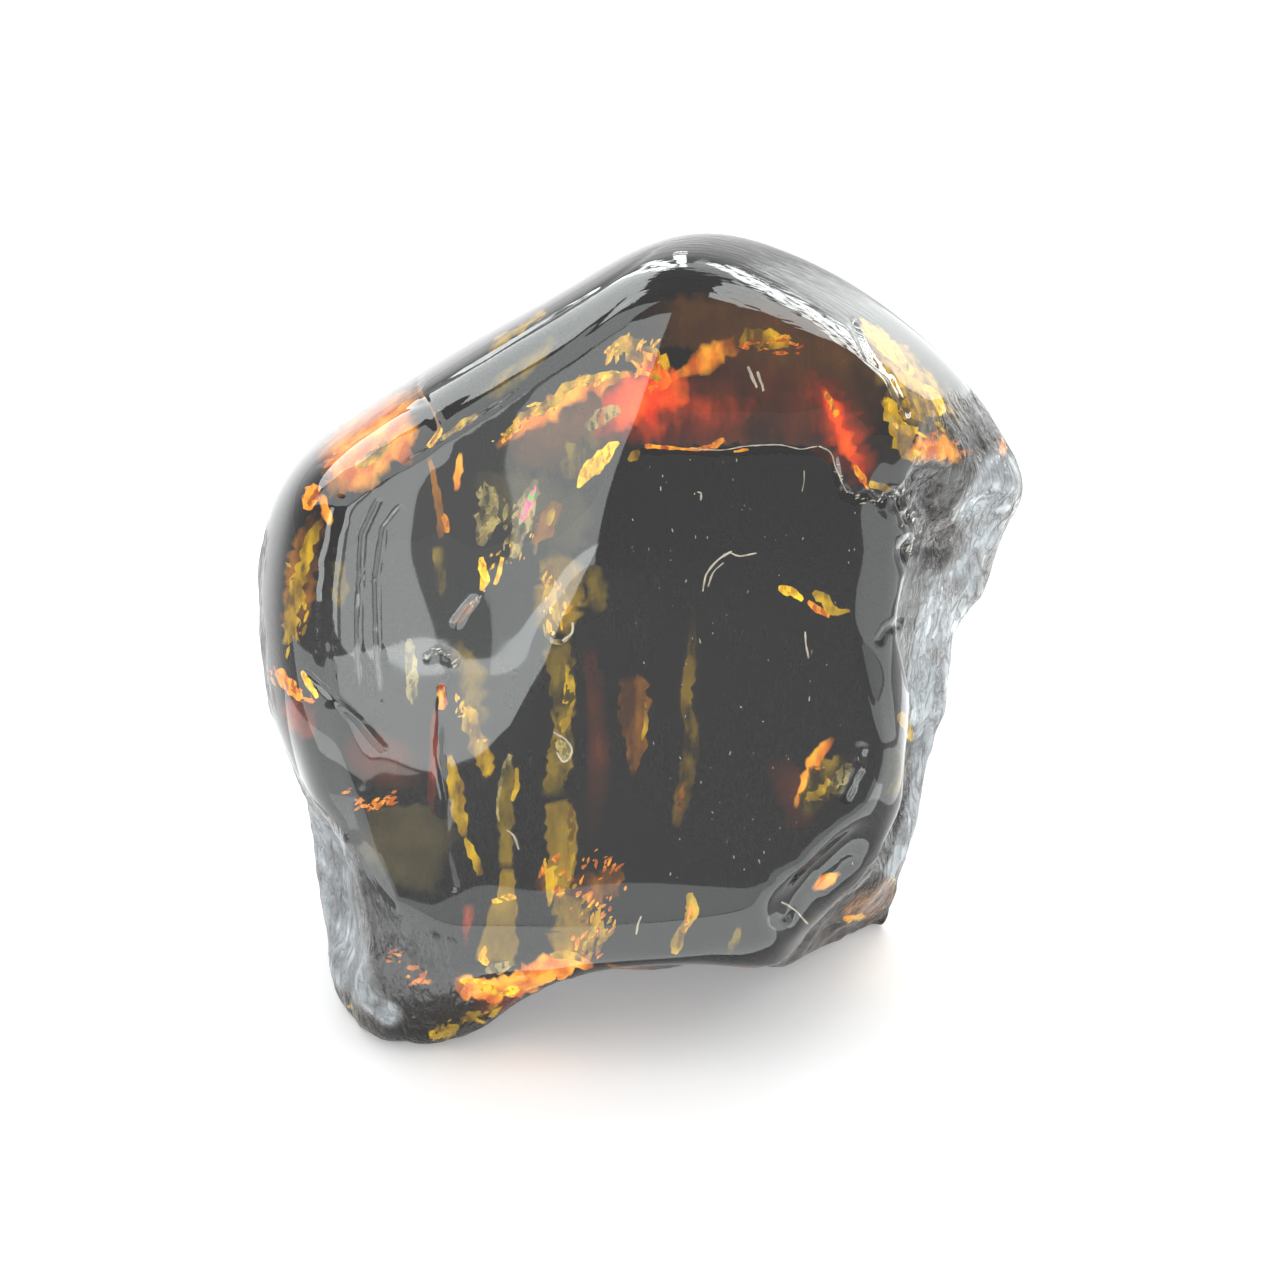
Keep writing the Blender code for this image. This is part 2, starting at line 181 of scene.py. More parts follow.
# Leaves inside the stone: material, depth, edge softness from 0 to 1, raggedness, crumple, and the line of
# their middle as (x, y, half width) in pixels. A pair of softnesses is for the upper and the lower side of a
# line that runs to the right
LEAVES = [
    # Brown depth under the top, and its glow down to the ledge's crack
    ("haze", 3.2, (0.8, 0.6), 0.2, 0.3, [
        (640, 330, 22), (690, 322, 30), (745, 335, 42), (800, 352, 44), (850, 385, 36), (872, 430, 14),
    ]),
    ("ember", 2.4, (0.9, 0.10), 0.1, 0.1, [
        (634, 416, 29), (690, 408, 40), (750, 402, 43), (805, 405, 43), (838, 428, 36), (864, 466, 30),
    ]),
    # Dim veils behind the left facet and on the main face
    ("haze", 1.8, 0.9, 0.4, 0.3, [(500, 455, 12), (545, 440, 34), (590, 420, 34), (625, 380, 14)]),
    ("veil", 1.1, 0.9, 0.7, 0.5, [
        (470, 475, 5), (500, 490, 24), (530, 500, 34), (566, 520, 26), (560, 560, 10),
    ]),
    ("ember", 2.6, 1.0, 0.3, 0.2, [(588, 640, 6), (598, 720, 12), (598, 790, 12), (590, 850, 5)]),
    ("ember", 2.6, 1.0, 0.4, 0.3, [(770, 760, 8), (795, 790, 22), (800, 830, 14)]),
    # The orange cloud under the upper left rim
    ("orange", 1.3, 0.8, 0.5, 0.3, [
        (318, 454, 6), (350, 434, 13), (380, 415, 14), (405, 400, 13), (423, 392, 5),
    ]),
    ("orange", 1.0, 0.8, 0.6, 0.3, [
        (326, 494, 8), (350, 474, 22), (372, 458, 25), (394, 440, 22), (414, 420, 10),
    ]),
    ("orange", 1.8, 0.9, 0.6, 0.3, [(318, 470, 8), (350, 456, 26), (385, 436, 28), (415, 415, 14)]),
    ("gold", 0.8, 0.5, 0.7, 0.3, [(352, 466, 3), (364, 462, 7), (380, 452, 6), (392, 438, 3)]),
    ("spark", 0.8, 0.4, 0.8, 0.4, [(306, 512, 4), (311, 496, 9), (318, 482, 6)]),
    ("orange", 0.8, 0.4, 0.8, 0.4, [(318, 496, 4), (326, 508, 6), (330, 526, 3)]),
    # The gold ribbon down the left side
    ("brown", 1.3, 0.8, 0.6, 0.3, [(322, 512, 8), (306, 548, 16), (298, 600, 18), (290, 645, 8)]),
    ("gold", 0.9, 0.5, 0.8, 0.4, [
        (328, 515, 4), (312, 536, 7), (303, 566, 7), (294, 594, 9), (290, 630, 7), (284, 650, 3),
    ]),
    ("olive", 1.0, 0.7, 0.6, 0.3, [(338, 556, 7), (340, 590, 9), (338, 612, 5)]),
    ("spark", 0.6, 0.2, 0.7, 0.5, [(277, 668, 4), (287, 684, 9), (303, 700, 3)]),
    ("bright", 0.5, 0.2, 0.6, 0.5, [(301, 670, 2), (309, 684, 4), (318, 699, 2)]),
    ("coal", 1.4, 0.8, 0.6, 0.3, [(285, 700, 8), (300, 716, 16), (312, 740, 12)]),
    # Cracks over the upper left rim
    ("brown", 0.3, 0.2, 0.9, 0.3, [
        (419, 376, 1), (420, 392, 2), (431, 408, 1), (439, 430, 2), (427, 447, 1),
    ]),
    ("bright", 0.4, 0.3, 0.9, 0.4, [(427, 448, 3), (436, 438, 4), (441, 426, 2)]),
    ("gold", 0.4, 0.3, 0.9, 0.4, [(441, 440, 3), (462, 424, 4), (478, 414, 3)]),
    ("gold", 0.6, 0.4, 0.9, 0.4, [(486, 352, 3), (503, 339, 6), (522, 327, 5), (548, 309, 4)]),
    ("olive", 1.2, 0.9, 0.5, 0.3, [(480, 398, 6), (505, 382, 12), (540, 352, 10), (562, 332, 4)]),
    # The gold arc and the fire under the top
    ("gold", 1.0, 0.3, 0.9, 0.5, [
        (502, 442, 3), (521, 420, 5), (548, 405, 6), (569, 386, 5), (600, 376, 4), (636, 374, 5),
    ]),
    ("orange", 1.4, 0.9, 0.9, 0.5, [
        (496, 448, 3), (520, 428, 8), (546, 412, 11), (572, 394, 10), (604, 384, 8), (630, 380, 6),
    ]),
    ("spark", 0.9, 0.4, 0.9, 0.5, [(498, 446, 2), (512, 432, 4), (530, 418, 4), (546, 410, 2)]),
    ("gold", 1.2, 0.4, 0.9, 0.6, [
        (607, 356, 4), (622, 346, 9), (640, 352, 14), (655, 366, 16), (668, 376, 7),
    ]),
    ("spark", 1.0, 0.5, 0.9, 0.5, [(628, 352, 5), (646, 362, 12), (664, 380, 10), (640, 392, 5)]),
    ("fire", 0.9, 0.9, 0.4, 0.3, [
        (602, 430, 6), (620, 410, 24), (645, 396, 32), (668, 390, 26), (692, 386, 10),
    ]),
    ("coal", 1.6, 0.9, 0.4, 0.3, [
        (600, 436, 8), (650, 424, 24), (690, 418, 26), (730, 412, 18), (760, 402, 6),
    ]),
    ("coal", 1.2, 0.5, 0.8, 0.5, [(592, 440, 4), (606, 424, 11), (624, 430, 9), (636, 440, 4)]),
    ("orange", 1.8, 0.9, 0.8, 0.4, [(668, 380, 4), (690, 368, 9), (715, 354, 12), (738, 342, 8)]),
    ("gold", 1.4, 0.5, 0.9, 0.5, [(738, 346, 6), (755, 338, 11), (775, 340, 10), (794, 342, 5)]),
    ("coal", 2.0, 0.9, 0.8, 0.4, [
        (806, 372, 6), (828, 402, 20), (842, 434, 26), (856, 462, 20), (868, 488, 8),
    ]),
    ("fire", 1.6, 0.9, 1.0, 0.5, [(816, 382, 3), (830, 402, 7), (838, 424, 6), (850, 450, 8), (864, 482, 4)]),
    ("spark", 1.0, 0.6, 1.0, 0.5, [(822, 388, 2), (832, 404, 5), (838, 420, 3)]),
    ("spark", 1.0, 0.6, 1.0, 0.5, [(852, 462, 2), (861, 476, 4), (870, 492, 2)]),
    ("gold", 0.8, 0.4, 0.8, 0.4, [(868, 482, 3), (880, 487, 4), (894, 490, 2)]),
    ("spark", 0.5, 0.1, 0.8, 0.2, [(643, 446, 2), (687, 449, 2), (708, 448, 3), (726, 438, 4)]),
    ("spark", 0.5, 0.3, 0.8, 0.2, [(732, 452, 1), (742, 450, 2), (750, 449, 1)]),
    # Flakes on the left of the face
    ("bright", 0.6, 0.1, 0.5, 0.3, [
        (577, 489, 1), (586, 474, 7), (600, 460, 10), (612, 447, 6), (620, 441, 1),
    ]),
    ("olive", 0.8, 0.4, 0.7, 0.3, [(563, 480, 6), (578, 457, 16), (598, 434, 10)]),
    ("silver", 0.8, 0.3, 0.8, 0.4, [(585, 430, 5), (604, 416, 10), (622, 408, 5)]),
    ("gold", 0.6, 0.2, 0.6, 0.3, [(628, 462, 2), (634, 456, 5), (640, 450, 2)]),
    ("orange", 0.8, 0.3, 0.6, 0.2, [(460, 452, 2), (458, 470, 5), (456, 492, 2)]),
    ("brown", 0.6, 0.2, 0.6, 0.3, [(429, 456, 3), (436, 490, 4), (440, 515, 5), (441, 540, 4)]),
    ("spark", 0.5, 0.3, 0.8, 0.4, [(440, 512, 2), (446, 522, 4), (448, 534, 2)]),
    ("brown", 0.4, 0.4, 0.6, 0.1, [(454, 626, 2), (464, 612, 5), (479, 597, 2)]),
    ("olive", 0.6, 0.3, 0.6, 0.3, [(436, 545, 7), (441, 572, 7), (441, 600, 3)]),
    ("silver", 0.6, 0.2, 0.7, 0.5, [(488, 484, 6), (489, 505, 12), (484, 531, 10), (480, 548, 4)]),
    ("bright", 0.4, 0.2, 0.7, 0.5, [(481, 556, 3), (484, 576, 6), (482, 592, 2)]),
    ("bright", 0.4, 0.2, 0.7, 0.5, [(503, 556, 2), (499, 572, 3), (494, 586, 3)]),
    ("silver", 0.4, 0.2, 0.7, 0.5, [
        (538, 476, 3), (530, 498, 10), (522, 520, 10), (516, 545, 7), (514, 562, 3),
    ]),
    ("rainbow", 0.3, 0.1, 0.6, 0.3, [(536, 484, 1), (531, 498, 4), (524, 513, 4), (519, 526, 1)]),
    ("brown", 0.5, 0.2, 0.7, 0.4, [(532, 546, 4), (545, 526, 11), (556, 500, 7)]),
    ("gold", 0.4, 0.2, 0.8, 0.4, [(543, 532, 2), (550, 518, 4), (555, 506, 2)]),
    ("honey", 1.3, 0.9, 0.7, 0.5, [(548, 552, 8), (560, 580, 26), (558, 610, 24), (560, 638, 14)]),
    ("gold", 0.9, 0.6, 0.9, 0.5, [(552, 560, 3), (548, 584, 7), (556, 612, 6), (562, 630, 4)]),
    ("olive", 1.2, 0.9, 0.8, 0.3, [(590, 562, 10), (598, 590, 15), (592, 614, 9)]),
    ("silver", 0.6, 0.3, 0.7, 0.3, [(408, 636, 4), (411, 660, 7), (412, 690, 7), (410, 708, 3)]),
    ("spark", 0.7, 0.3, 0.7, 0.4, [(441, 682, 3), (443, 698, 6), (441, 712, 3)]),
    ("olive", 1.2, 0.9, 0.7, 0.3, [(452, 640, 6), (466, 660, 16), (470, 690, 18), (474, 730, 16)]),
    # Long upright ribbons
    ("silver", 0.5, 0.2, 0.7, 0.3, [
        (543, 622, 1), (548, 638, 3), (560, 642, 3), (571, 634, 2), (573, 622, 1),
    ]),
    ("olive", 0.9, 0.2, 0.6, 0.4, [
        (557, 640, 16), (560, 665, 15), (563, 690, 14), (563, 715, 12), (560, 735, 7), (559, 755, 12),
        (556, 775, 11), (553, 800, 13),
    ]),
    ("gold", 0.8, 0.3, 0.9, 0.4, [(566, 662, 2), (570, 690, 5), (566, 720, 5), (562, 736, 2)]),
    ("olive", 0.9, 0.3, 0.5, 0.3, [(560, 722, 6), (563, 744, 12), (560, 768, 13), (557, 782, 10)]),
    ("silver", 0.6, 0.3, 0.8, 0.4, [(556, 740, 4), (564, 750, 9), (566, 764, 6)]),
    ("honey", 0.8, 0.2, 0.4, 0.3, [
        (556, 800, 13), (561, 825, 16), (562, 850, 15), (563, 872, 12), (566, 890, 4),
    ]),
    ("gold", 0.7, 0.4, 0.7, 0.3, [(570, 800, 2), (571, 830, 4), (570, 862, 4), (568, 884, 2)]),
    ("gold", 0.8, 0.2, 0.6, 0.3, [(550, 866, 5), (550, 888, 5), (549, 908, 1)]),
    ("brown", 1.3, 0.3, 0.5, 0.3, [
        (632, 674, 13), (634, 700, 17), (633, 722, 14), (635, 750, 10), (632, 777, 2),
    ]),
    ("gold", 1.1, 0.3, 0.8, 0.3, [(645, 700, 1), (646, 720, 3), (642, 742, 2)]),
    ("olive", 1.8, 0.6, 0.6, 0.3, [
        (695, 600, 2), (692, 640, 5), (690, 670, 7), (686, 700, 7), (692, 735, 9), (689, 765, 9),
        (682, 800, 9), (674, 836, 4),
    ]),
    ("brown", 1.7, 0.8, 0.8, 0.3, [(686, 780, 3), (680, 800, 5), (678, 820, 3)]),
    ("gold", 1.2, 0.7, 0.7, 0.3, [(462, 698, 6), (471, 725, 11), (482, 752, 12), (487, 784, 5)]),
    ("gold", 0.9, 0.3, 0.6, 0.3, [(449, 752, 4), (455, 785, 8), (460, 815, 8), (465, 840, 3)]),
    ("gold", 0.8, 0.3, 0.7, 0.4, [(464, 836, 2), (473, 855, 5), (481, 876, 4)]),
    ("olive", 0.9, 0.2, 0.6, 0.4, [(509, 756, 4), (507, 790, 9), (505, 830, 9), (508, 868, 9)]),
    ("silver", 0.6, 0.2, 0.8, 0.4, [(512, 752, 5), (504, 772, 3), (498, 800, 2), (499, 825, 1)]),
    ("gold", 0.6, 0.2, 0.7, 0.3, [(516, 766, 2), (517, 785, 3), (512, 802, 2)]),
    ("honey", 0.9, 0.25, 0.3, 0.3, [(508, 868, 7), (506, 895, 10), (501, 925, 17), (496, 964, 21)]),
    ("bright", 0.8, 0.3, 0.9, 0.4, [(490, 902, 3), (505, 899, 4), (518, 897, 3)]),
    ("bright", 0.7, 0.3, 0.8, 0.4, [(486, 945, 2), (482, 958, 5), (490, 964, 3)]),
    ("coal", 0.8, 0.3, 0.5, 0.3, [(469, 904, 7), (467, 926, 5), (465, 948, 1)]),
    ("silver", 0.5, 0.2, 0.8, 0.4, [(484, 972, 3), (498, 968, 7), (514, 962, 4)]),
    ("honey", 1.2, 0.9, 0.8, 0.4, [(558, 895, 8), (574, 925, 22), (570, 950, 22), (564, 966, 8)]),
    ("brown", 1.5, 0.9, 0.9, 0.5, [(530, 878, 5), (568, 890, 18), (604, 886, 18), (620, 862, 6)]),
    # The orange lip under the lower edge, and the red-brown edge beyond it
    ("orange", 0.5, 0.3, 0.7, 0.5, [
        (452, 985, 6), (470, 987, 12), (495, 991, 10), (525, 982, 16), (550, 970, 16), (575, 963, 9),
        (596, 966, 3),
    ]),
    ("bright", 0.4, 0.3, 0.9, 0.5, [(456, 980, 3), (476, 984, 6), (500, 992, 4), (522, 988, 5)]),
    ("gold", 0.4, 0.3, 0.8, 0.4, [(548, 956, 3), (566, 954, 5), (584, 960, 3)]),
    ("coal", 0.9, 0.8, 0.5, 0.4, [(470, 1004, 6), (505, 1008, 12), (540, 1000, 12), (570, 985, 6)]),
    ("brown", 0.4, 0.3, 0.8, 0.2, [(600, 964, 2), (640, 970, 3), (700, 970, 3), (777, 969, 1)]),
    ("coal", 0.4, 0.5, 0.8, 0.2, [(716, 968, 1), (745, 969, 3), (778, 969, 1)]),
    # Flakes on the right of the face and in the bevel
    ("bright", 0.6, 0.1, 0.8, 0.5, [(777, 588, 3), (790, 590, 6), (804, 601, 3)]),
    ("gold", 0.7, 0.2, 0.8, 0.5, [(812, 591, 3), (824, 600, 6), (834, 611, 4), (851, 611, 2)]),
    ("spark", 0.9, 0.4, 0.8, 0.5, [(806, 600, 2), (818, 610, 4), (832, 617, 3)]),
    ("orange", 1.0, 0.4, 0.7, 0.4, [(833, 737, 4), (816, 760, 8), (803, 786, 5), (795, 808, 2)]),
    ("olive", 0.8, 0.4, 0.8, 0.6, [(804, 818, 7), (813, 796, 15), (830, 776, 17), (848, 758, 10)]),
    ("gold", 0.7, 0.4, 0.9, 0.6, [(806, 802, 4), (818, 790, 8), (830, 778, 5)]),
    ("silver", 0.6, 0.4, 0.9, 0.5, [(828, 792, 4), (842, 776, 8), (852, 760, 5)]),
    ("orange", 0.7, 0.5, 0.7, 0.3, [(812, 891, 3), (825, 882, 7), (840, 872, 3)]),
    ("gold", 0.6, 0.2, 0.7, 0.5, [(689, 892, 3), (691, 912, 7), (681, 934, 6), (673, 956, 6)]),
    ("spark", 0.5, 0.2, 0.7, 0.5, [(691, 904, 1), (690, 918, 3), (682, 934, 2)]),
    ("olive", 0.7, 0.5, 0.8, 0.4, [(740, 925, 3), (733, 945, 5), (727, 955, 2)]),
    ("gold", 0.5, 0.2, 0.8, 0.5, [(899, 712, 4), (906, 724, 6), (913, 742, 4)]),
    ("olive", 0.9, 0.7, 0.8, 0.4, [(893, 740, 4), (900, 770, 8), (890, 800, 7)]),
    ("brown", 1.0, 0.6, 0.6, 0.3, [(842, 918, 5), (858, 908, 12), (878, 896, 14), (894, 882, 7)]),
    ("spark", 0.6, 0.4, 0.9, 0.4, [(842, 920, 3), (852, 917, 4), (862, 915, 2)]),
    # The clear yellow crackle on the right rim
    ("olive", 1.6, 0.9, 0.5, 0.4, [
        (866, 332, 8), (890, 358, 24), (914, 388, 34), (936, 416, 34), (946, 446, 18),
    ]),
    ("gold", 1.2, 0.6, 0.6, 0.5, [
        (860, 318, 4), (880, 342, 13), (902, 368, 20), (922, 396, 22), (934, 424, 16),
    ]),
    ("bright", 0.6, 0.25, 0.7, 0.5, [
        (860, 319, 2), (874, 333, 6), (890, 350, 8), (906, 366, 6), (916, 378, 2),
    ]),
    ("gold", 0.8, 0.5, 0.8, 0.5, [(882, 396, 5), (894, 420, 11), (908, 444, 12), (918, 462, 5)]),
    ("bright", 0.6, 0.3, 0.8, 0.5, [(922, 384, 3), (936, 398, 6), (944, 416, 5)]),
    ("orange", 0.9, 0.7, 0.8, 0.5, [(908, 458, 6), (926, 450, 13), (946, 450, 12), (962, 462, 5)]),
    ("orange", 0.6, 0.4, 0.8, 0.5, [(1000, 456, 3), (1005, 446, 5), (1002, 436, 2)]),
    # The lower left: brown shade, and a dim grey depth with a clear upper edge
    ("ember", 2.2, 0.8, 0.5, 0.3, [(345, 740, 12), (370, 752, 26), (395, 765, 28), (425, 770, 16)]),
    ("coal", 1.8, 0.8, 0.4, 0.2, [(434, 705, 4), (434, 760, 6), (430, 812, 4)]),
    ("veil", 1.6, (0.15, 0.5), 0.2, 0.2, [(360, 830, 22), (390, 838, 36), (420, 850, 44), (448, 862, 36)]),
    # The glassy lobe: golden foot and reddish chunk at the lower right
    ("olive", 0.8, 0.6, 0.7, 0.4, [(330, 1000, 5), (345, 1015, 12), (365, 1030, 10), (384, 1038, 3)]),
    ("brown", 0.8, 0.5, 0.6, 0.4, [(848, 918, 4), (866, 910, 11), (884, 894, 13), (898, 876, 6)]),
    # Painted yellow glints on the reddish chunk
    ("bright", 0.5, 0.3, 0.8, 0.4, [(846, 922, 2), (856, 918, 3), (868, 917, 2)]),
    ("bright", 0.5, 0.3, 0.8, 0.4, [(889, 872, 2), (897, 880, 4), (898, 892, 2)]),
]

# Crackle: swarms of small shards along a line: material, least and greatest depth, how many, half size in
# pixels, the angle in degrees at which they rise to the right, and the line as (x, y, half width)
CRACKLE = [
    ("bright", 0.5, 2.0, 34, 2.2, 60, [(612, 352, 10), (640, 344, 12), (655, 372, 12)]),
    ("bright", 0.5, 1.5, 44, 1.8, 35, [(500, 440, 6), (540, 408, 8), (580, 382, 7), (640, 372, 6)]),
    ("bright", 0.5, 1.5, 26, 2.4, -50, [(864, 326, 5), (885, 345, 9), (905, 368, 12), (922, 392, 12)]),
    ("gold", 0.5, 2.0, 34, 3.0, -40, [(880, 360, 8), (908, 385, 18), (930, 410, 20), (945, 435, 12)]),
    ("bright", 0.5, 2.0, 24, 2.0, -60, [(892, 408, 8), (910, 430, 18), (925, 448, 12)]),
    ("spark", 0.8, 2.5, 30, 2.2, 20, [(905, 452, 10), (940, 440, 12), (965, 452, 8)]),
    ("spark", 0.5, 2.5, 44, 2.8, 58, [(535, 870, 14), (570, 890, 26), (590, 925, 26), (575, 955, 24)]),
    ("spark", 0.6, 2.0, 26, 1.8, 50, [(590, 860, 16), (612, 880, 18), (604, 915, 14)]),
    ("gold", 0.4, 1.5, 40, 3.0, 62, [(548, 862, 10), (585, 910, 20), (600, 940, 14), (560, 958, 14)]),
    ("bright", 0.4, 1.5, 20, 1.6, 62, [(560, 880, 14), (590, 905, 16), (606, 930, 12)]),
    ("spark", 0.5, 2.0, 30, 1.8, 10, [(745, 345, 10), (775, 342, 10), (800, 350, 6)]),
    ("spark", 0.4, 1.2, 16, 2.0, 20, [(385, 945, 8), (400, 965, 14), (425, 985, 10)]),
    ("gold", 0.4, 1.4, 16, 3.0, 40, [(335, 1005, 8), (350, 1020, 12), (368, 1034, 6)]),
    ("gold", 0.4, 1.4, 30, 2.6, 20, [(430, 1036, 8), (455, 1028, 12), (492, 1012, 8)]),
    ("spark", 0.4, 1.4, 34, 1.8, 25, [(350, 792, 5), (368, 806, 7), (392, 800, 6)]),
    ("spark", 0.4, 1.4, 18, 2.0, 120, [(272, 670, 5), (290, 690, 8), (316, 700, 5)]),
    ("bright", 0.4, 1.0, 24, 1.8, 80, [(545, 572, 14), (560, 600, 18), (548, 628, 12)]),
    ("bright", 0.4, 1.2, 14, 1.8, 80, [(455, 700, 8), (478, 740, 8)]),
    ("bright", 0.4, 1.2, 22, 1.5, 70, [(486, 560, 8), (515, 548, 16), (530, 510, 8)]),
    ("silver", 0.4, 1.2, 30, 2.4, 75, [(480, 490, 8), (505, 500, 20), (530, 520, 20), (500, 560, 12)]),
    ("gold", 0.4, 1.2, 26, 1.8, 80, [(292, 560, 12), (300, 610, 12), (288, 650, 8)]),
    ("orange", 0.6, 1.8, 20, 3.0, 35, [(322, 470, 10), (360, 450, 20), (400, 430, 14)]),
    # Painted glints: white shards along the ledge's crack and in the glassy pocket
    ("white", 0.2, 0.3, 40, 0.8, 10, [(836, 470, 5), (850, 496, 6), (875, 500, 7), (905, 488, 8)]),
    ("white", 0.2, 0.3, 34, 0.8, 40, [(903, 512, 6), (914, 528, 14), (908, 550, 8)]),
    ("white", 0.2, 0.3, 8, 0.7, 60, [(470, 602, 3), (478, 598, 5), (486, 592, 3)]),
    ("white", 0.2, 0.3, 14, 1.0, 10, [(425, 656, 3), (442, 650, 6), (458, 664, 4)]),
]

# The start of the random draws for crackle, dust and hidden shards, in this order
CRACKLE_SEED = 11

# Thin white cracks and scratches just under the polish: half width in pixels and the line
SCRATCHES = [
    (1.0, [(703, 592), (706, 575), (718, 560), (732, 551)]),
    (0.9, [(728, 552), (740, 556), (757, 553)]),
    (0.8, [(708, 587), (713, 573), (724, 562)]),
    (0.5, [(690, 448), (720, 450), (748, 446), (781, 445), (800, 449), (818, 446)]),
    (0.6, [(818, 446), (830, 452), (834, 462), (839, 476), (846, 490)]),
    (0.6, [(804, 470), (804, 482), (802, 492)]),
    (1.4, [(747, 366), (752, 377), (757, 388)]),
    (1.4, [(757, 371), (760, 380), (764, 391)]),
    (1.0, [(805, 631), (806, 645), (809, 659)]),
    (1.0, [(641, 916), (638, 925), (636, 935)]),
    (1.0, [(812, 650), (811, 654)]),
    (1.0, [(506, 830), (514, 836), (519, 850)]),
    (1.0, [(697, 492), (701, 493), (701, 501)]),
    (1.2, [(562, 641), (572, 633), (572, 622)]),
    (1.0, [(553, 732), (566, 740), (572, 752), (564, 762), (556, 752)]),
    (1.0, [(781, 902), (795, 910), (808, 924)]),
]
SCRATCH_DEPTH = 0.25
SCRATCH_RAGGEDNESS = 0.9

# Dust: its number, its field's corners in pixels, its depths, its half size in pixels and its angle
DUST_COUNT = 90
DUST_FIELD = ((620, 460), (860, 880))
DUST_DEPTHS = (0.2, 0.3)
DUST_HALF_SIZE = 0.55
UPRIGHT = 90


def smooth_step(value, low, high):
    share = np.clip((value - low) / (high - low), 0.0, 1.0)
    return share * share * (3 - 2 * share)


def mixed(low, high, share):
    return low + (high - low) * share


def put(name, data):
    """A new object with this data, in the scene."""
    made = bpy.data.objects.new(name, data)
    bpy.context.scene.collection.objects.link(made)
    return made


def set_values(mesh, named):
    """Gives the points of a mesh values that its material reads by name."""
    for name, values in named.items():
        attribute = mesh.attributes.new(name, "FLOAT", "POINT")
        attribute.data.foreach_set("value", values)


# Places of a Mix node's two colours and of its result
MIX_COLOURS = (6, 7)
MIX_RESULT = 2


class Nodes:
    """A material's node tree. add() makes a node, sets its plain inputs and links the rest."""

    def __init__(self, name):
        self.material = bpy.data.materials.new(name)
        self.material.use_nodes = True
        self.tree = self.material.node_tree
        self.shader = self.tree.nodes["Principled BSDF"]
        self.output = self.tree.nodes["Material Output"]

    def set(self, target, inputs):
        for key, value in inputs.items():
            if isinstance(value, bpy.types.NodeSocket):
                self.tree.links.new(value, target.inputs[key])
            else:
                target.inputs[key].default_value = value

    def add(self, kind, inputs, **settings):
        made = self.tree.nodes.new(kind)
        for key, value in settings.items():
            setattr(made, key, value)
        self.set(made, inputs)
        return made

    def attribute(self, name):
        return self.add("ShaderNodeAttribute", {}, attribute_name=name).outputs["Fac"]

    def place(self, stretch=(1.0, 1.0, 1.0)):
        """Object coordinates in millimetres, stretched."""
        spot = self.add("ShaderNodeTexCoord", {}).outputs["Object"]
        scale = [value / MM for value in stretch]
        return self.add("ShaderNodeMapping", {"Vector": spot, "Scale": scale}).outputs["Vector"]

    def noise(self, size, detail=4.0, stretch=(1.0, 1.0, 1.0)):
        inputs = {"Vector": self.place(stretch), "Scale": 1 / size, "Detail": detail}
        return self.add("ShaderNodeTexNoise", inputs).outputs["Fac"]

    def ranged(self, value, low, high, to_low=0.0, to_high=1.0):
        inputs = {"Value": value, "From Min": low, "From Max": high, "To Min": to_low, "To Max": to_high}
        return self.add("ShaderNodeMapRange", inputs).outputs["Result"]

    def flakes(self, size):
        """A shade between 0 and 1 for each of many crumpled flakes, and 0 on the lines between them."""
        inputs = {"Vector": self.place(), "Scale": 1 / size, "Detail": FLAKE_DETAIL}
        wobble = self.add("ShaderNodeTexNoise", inputs)
        inputs = {0: wobble.outputs["Color"], 1: (size,) * 3}
        bend = self.add("ShaderNodeVectorMath", inputs, operation="MULTIPLY")
        spot = self.add("ShaderNodeVectorMath", {0: self.place(FLAKE_STRETCH), 1: bend.outputs["Vector"]})
        inputs = {"Vector": spot.outputs["Vector"], "Scale": 1 / size}
        cells = self.add("ShaderNodeTexVoronoi", inputs)
        lines = self.add("ShaderNodeTexVoronoi", inputs, feature="DISTANCE_TO_EDGE")
        edge = self.ranged(lines.outputs["Distance"], 0.0, FLAKE_EDGE)
        return self.ranged(cells.outputs["Color"], *FLAKE_SHADES), edge

    def math(self, operation, first, second):
        return self.add("ShaderNodeMath", {0: first, 1: second}, operation=operation).outputs[0]

    def colour(self, share, low, high):
        made = self.add("ShaderNodeMix", {}, data_type="RGBA")
        self.set(made, {"Factor": share})
        for key, value in zip(MIX_COLOURS, (low, high)):
            self.set(made, {key: value if isinstance(value, bpy.types.NodeSocket) else (*value, 1.0)})
        return made.outputs[MIX_RESULT]


# The pale skin, partly weathering and partly a painted sheen: fibres with painted shade in the creases
# between them, in patches that let some of the glass show. A noise is (size, detail, stretch), and a shade
# the two noise values that it runs between and its value at each
SKIN_FIBRES = (1.4, 4.0, (1.0, 1.0, 0.4))
SKIN_CREASE_SHADE = (0.0, 0.03, 0.4, 1.0)
SKIN_SHADES = (0.3, 0.7, 0.5, 1.0)
SKIN_PATCHES = (3.0, 2.0)
SKIN_COVER = (0.35, 0.6, 0.6, 0.95)
SKIN_DARK = (0.15, 0.17, 0.185)
SKIN_LIGHT = (0.56, 0.62, 0.66)

# Fine bumps: the creases of broken stone, less on glassy stone than on skin, and the rim's brushed streaks
BUMP_DEPTH = 0.0003
BUMP_STRENGTH = 0.7
BUMP_CREASES = (0.0, 0.12, 0.0, 1.6)
BUMP_GLASS = 0.3
STREAKS = (0.35, 1.0, (0.12, 1.0, 0.12))
STREAK_HEIGHT = 0.20
ROUGHNESS = (0.02, 0.20)


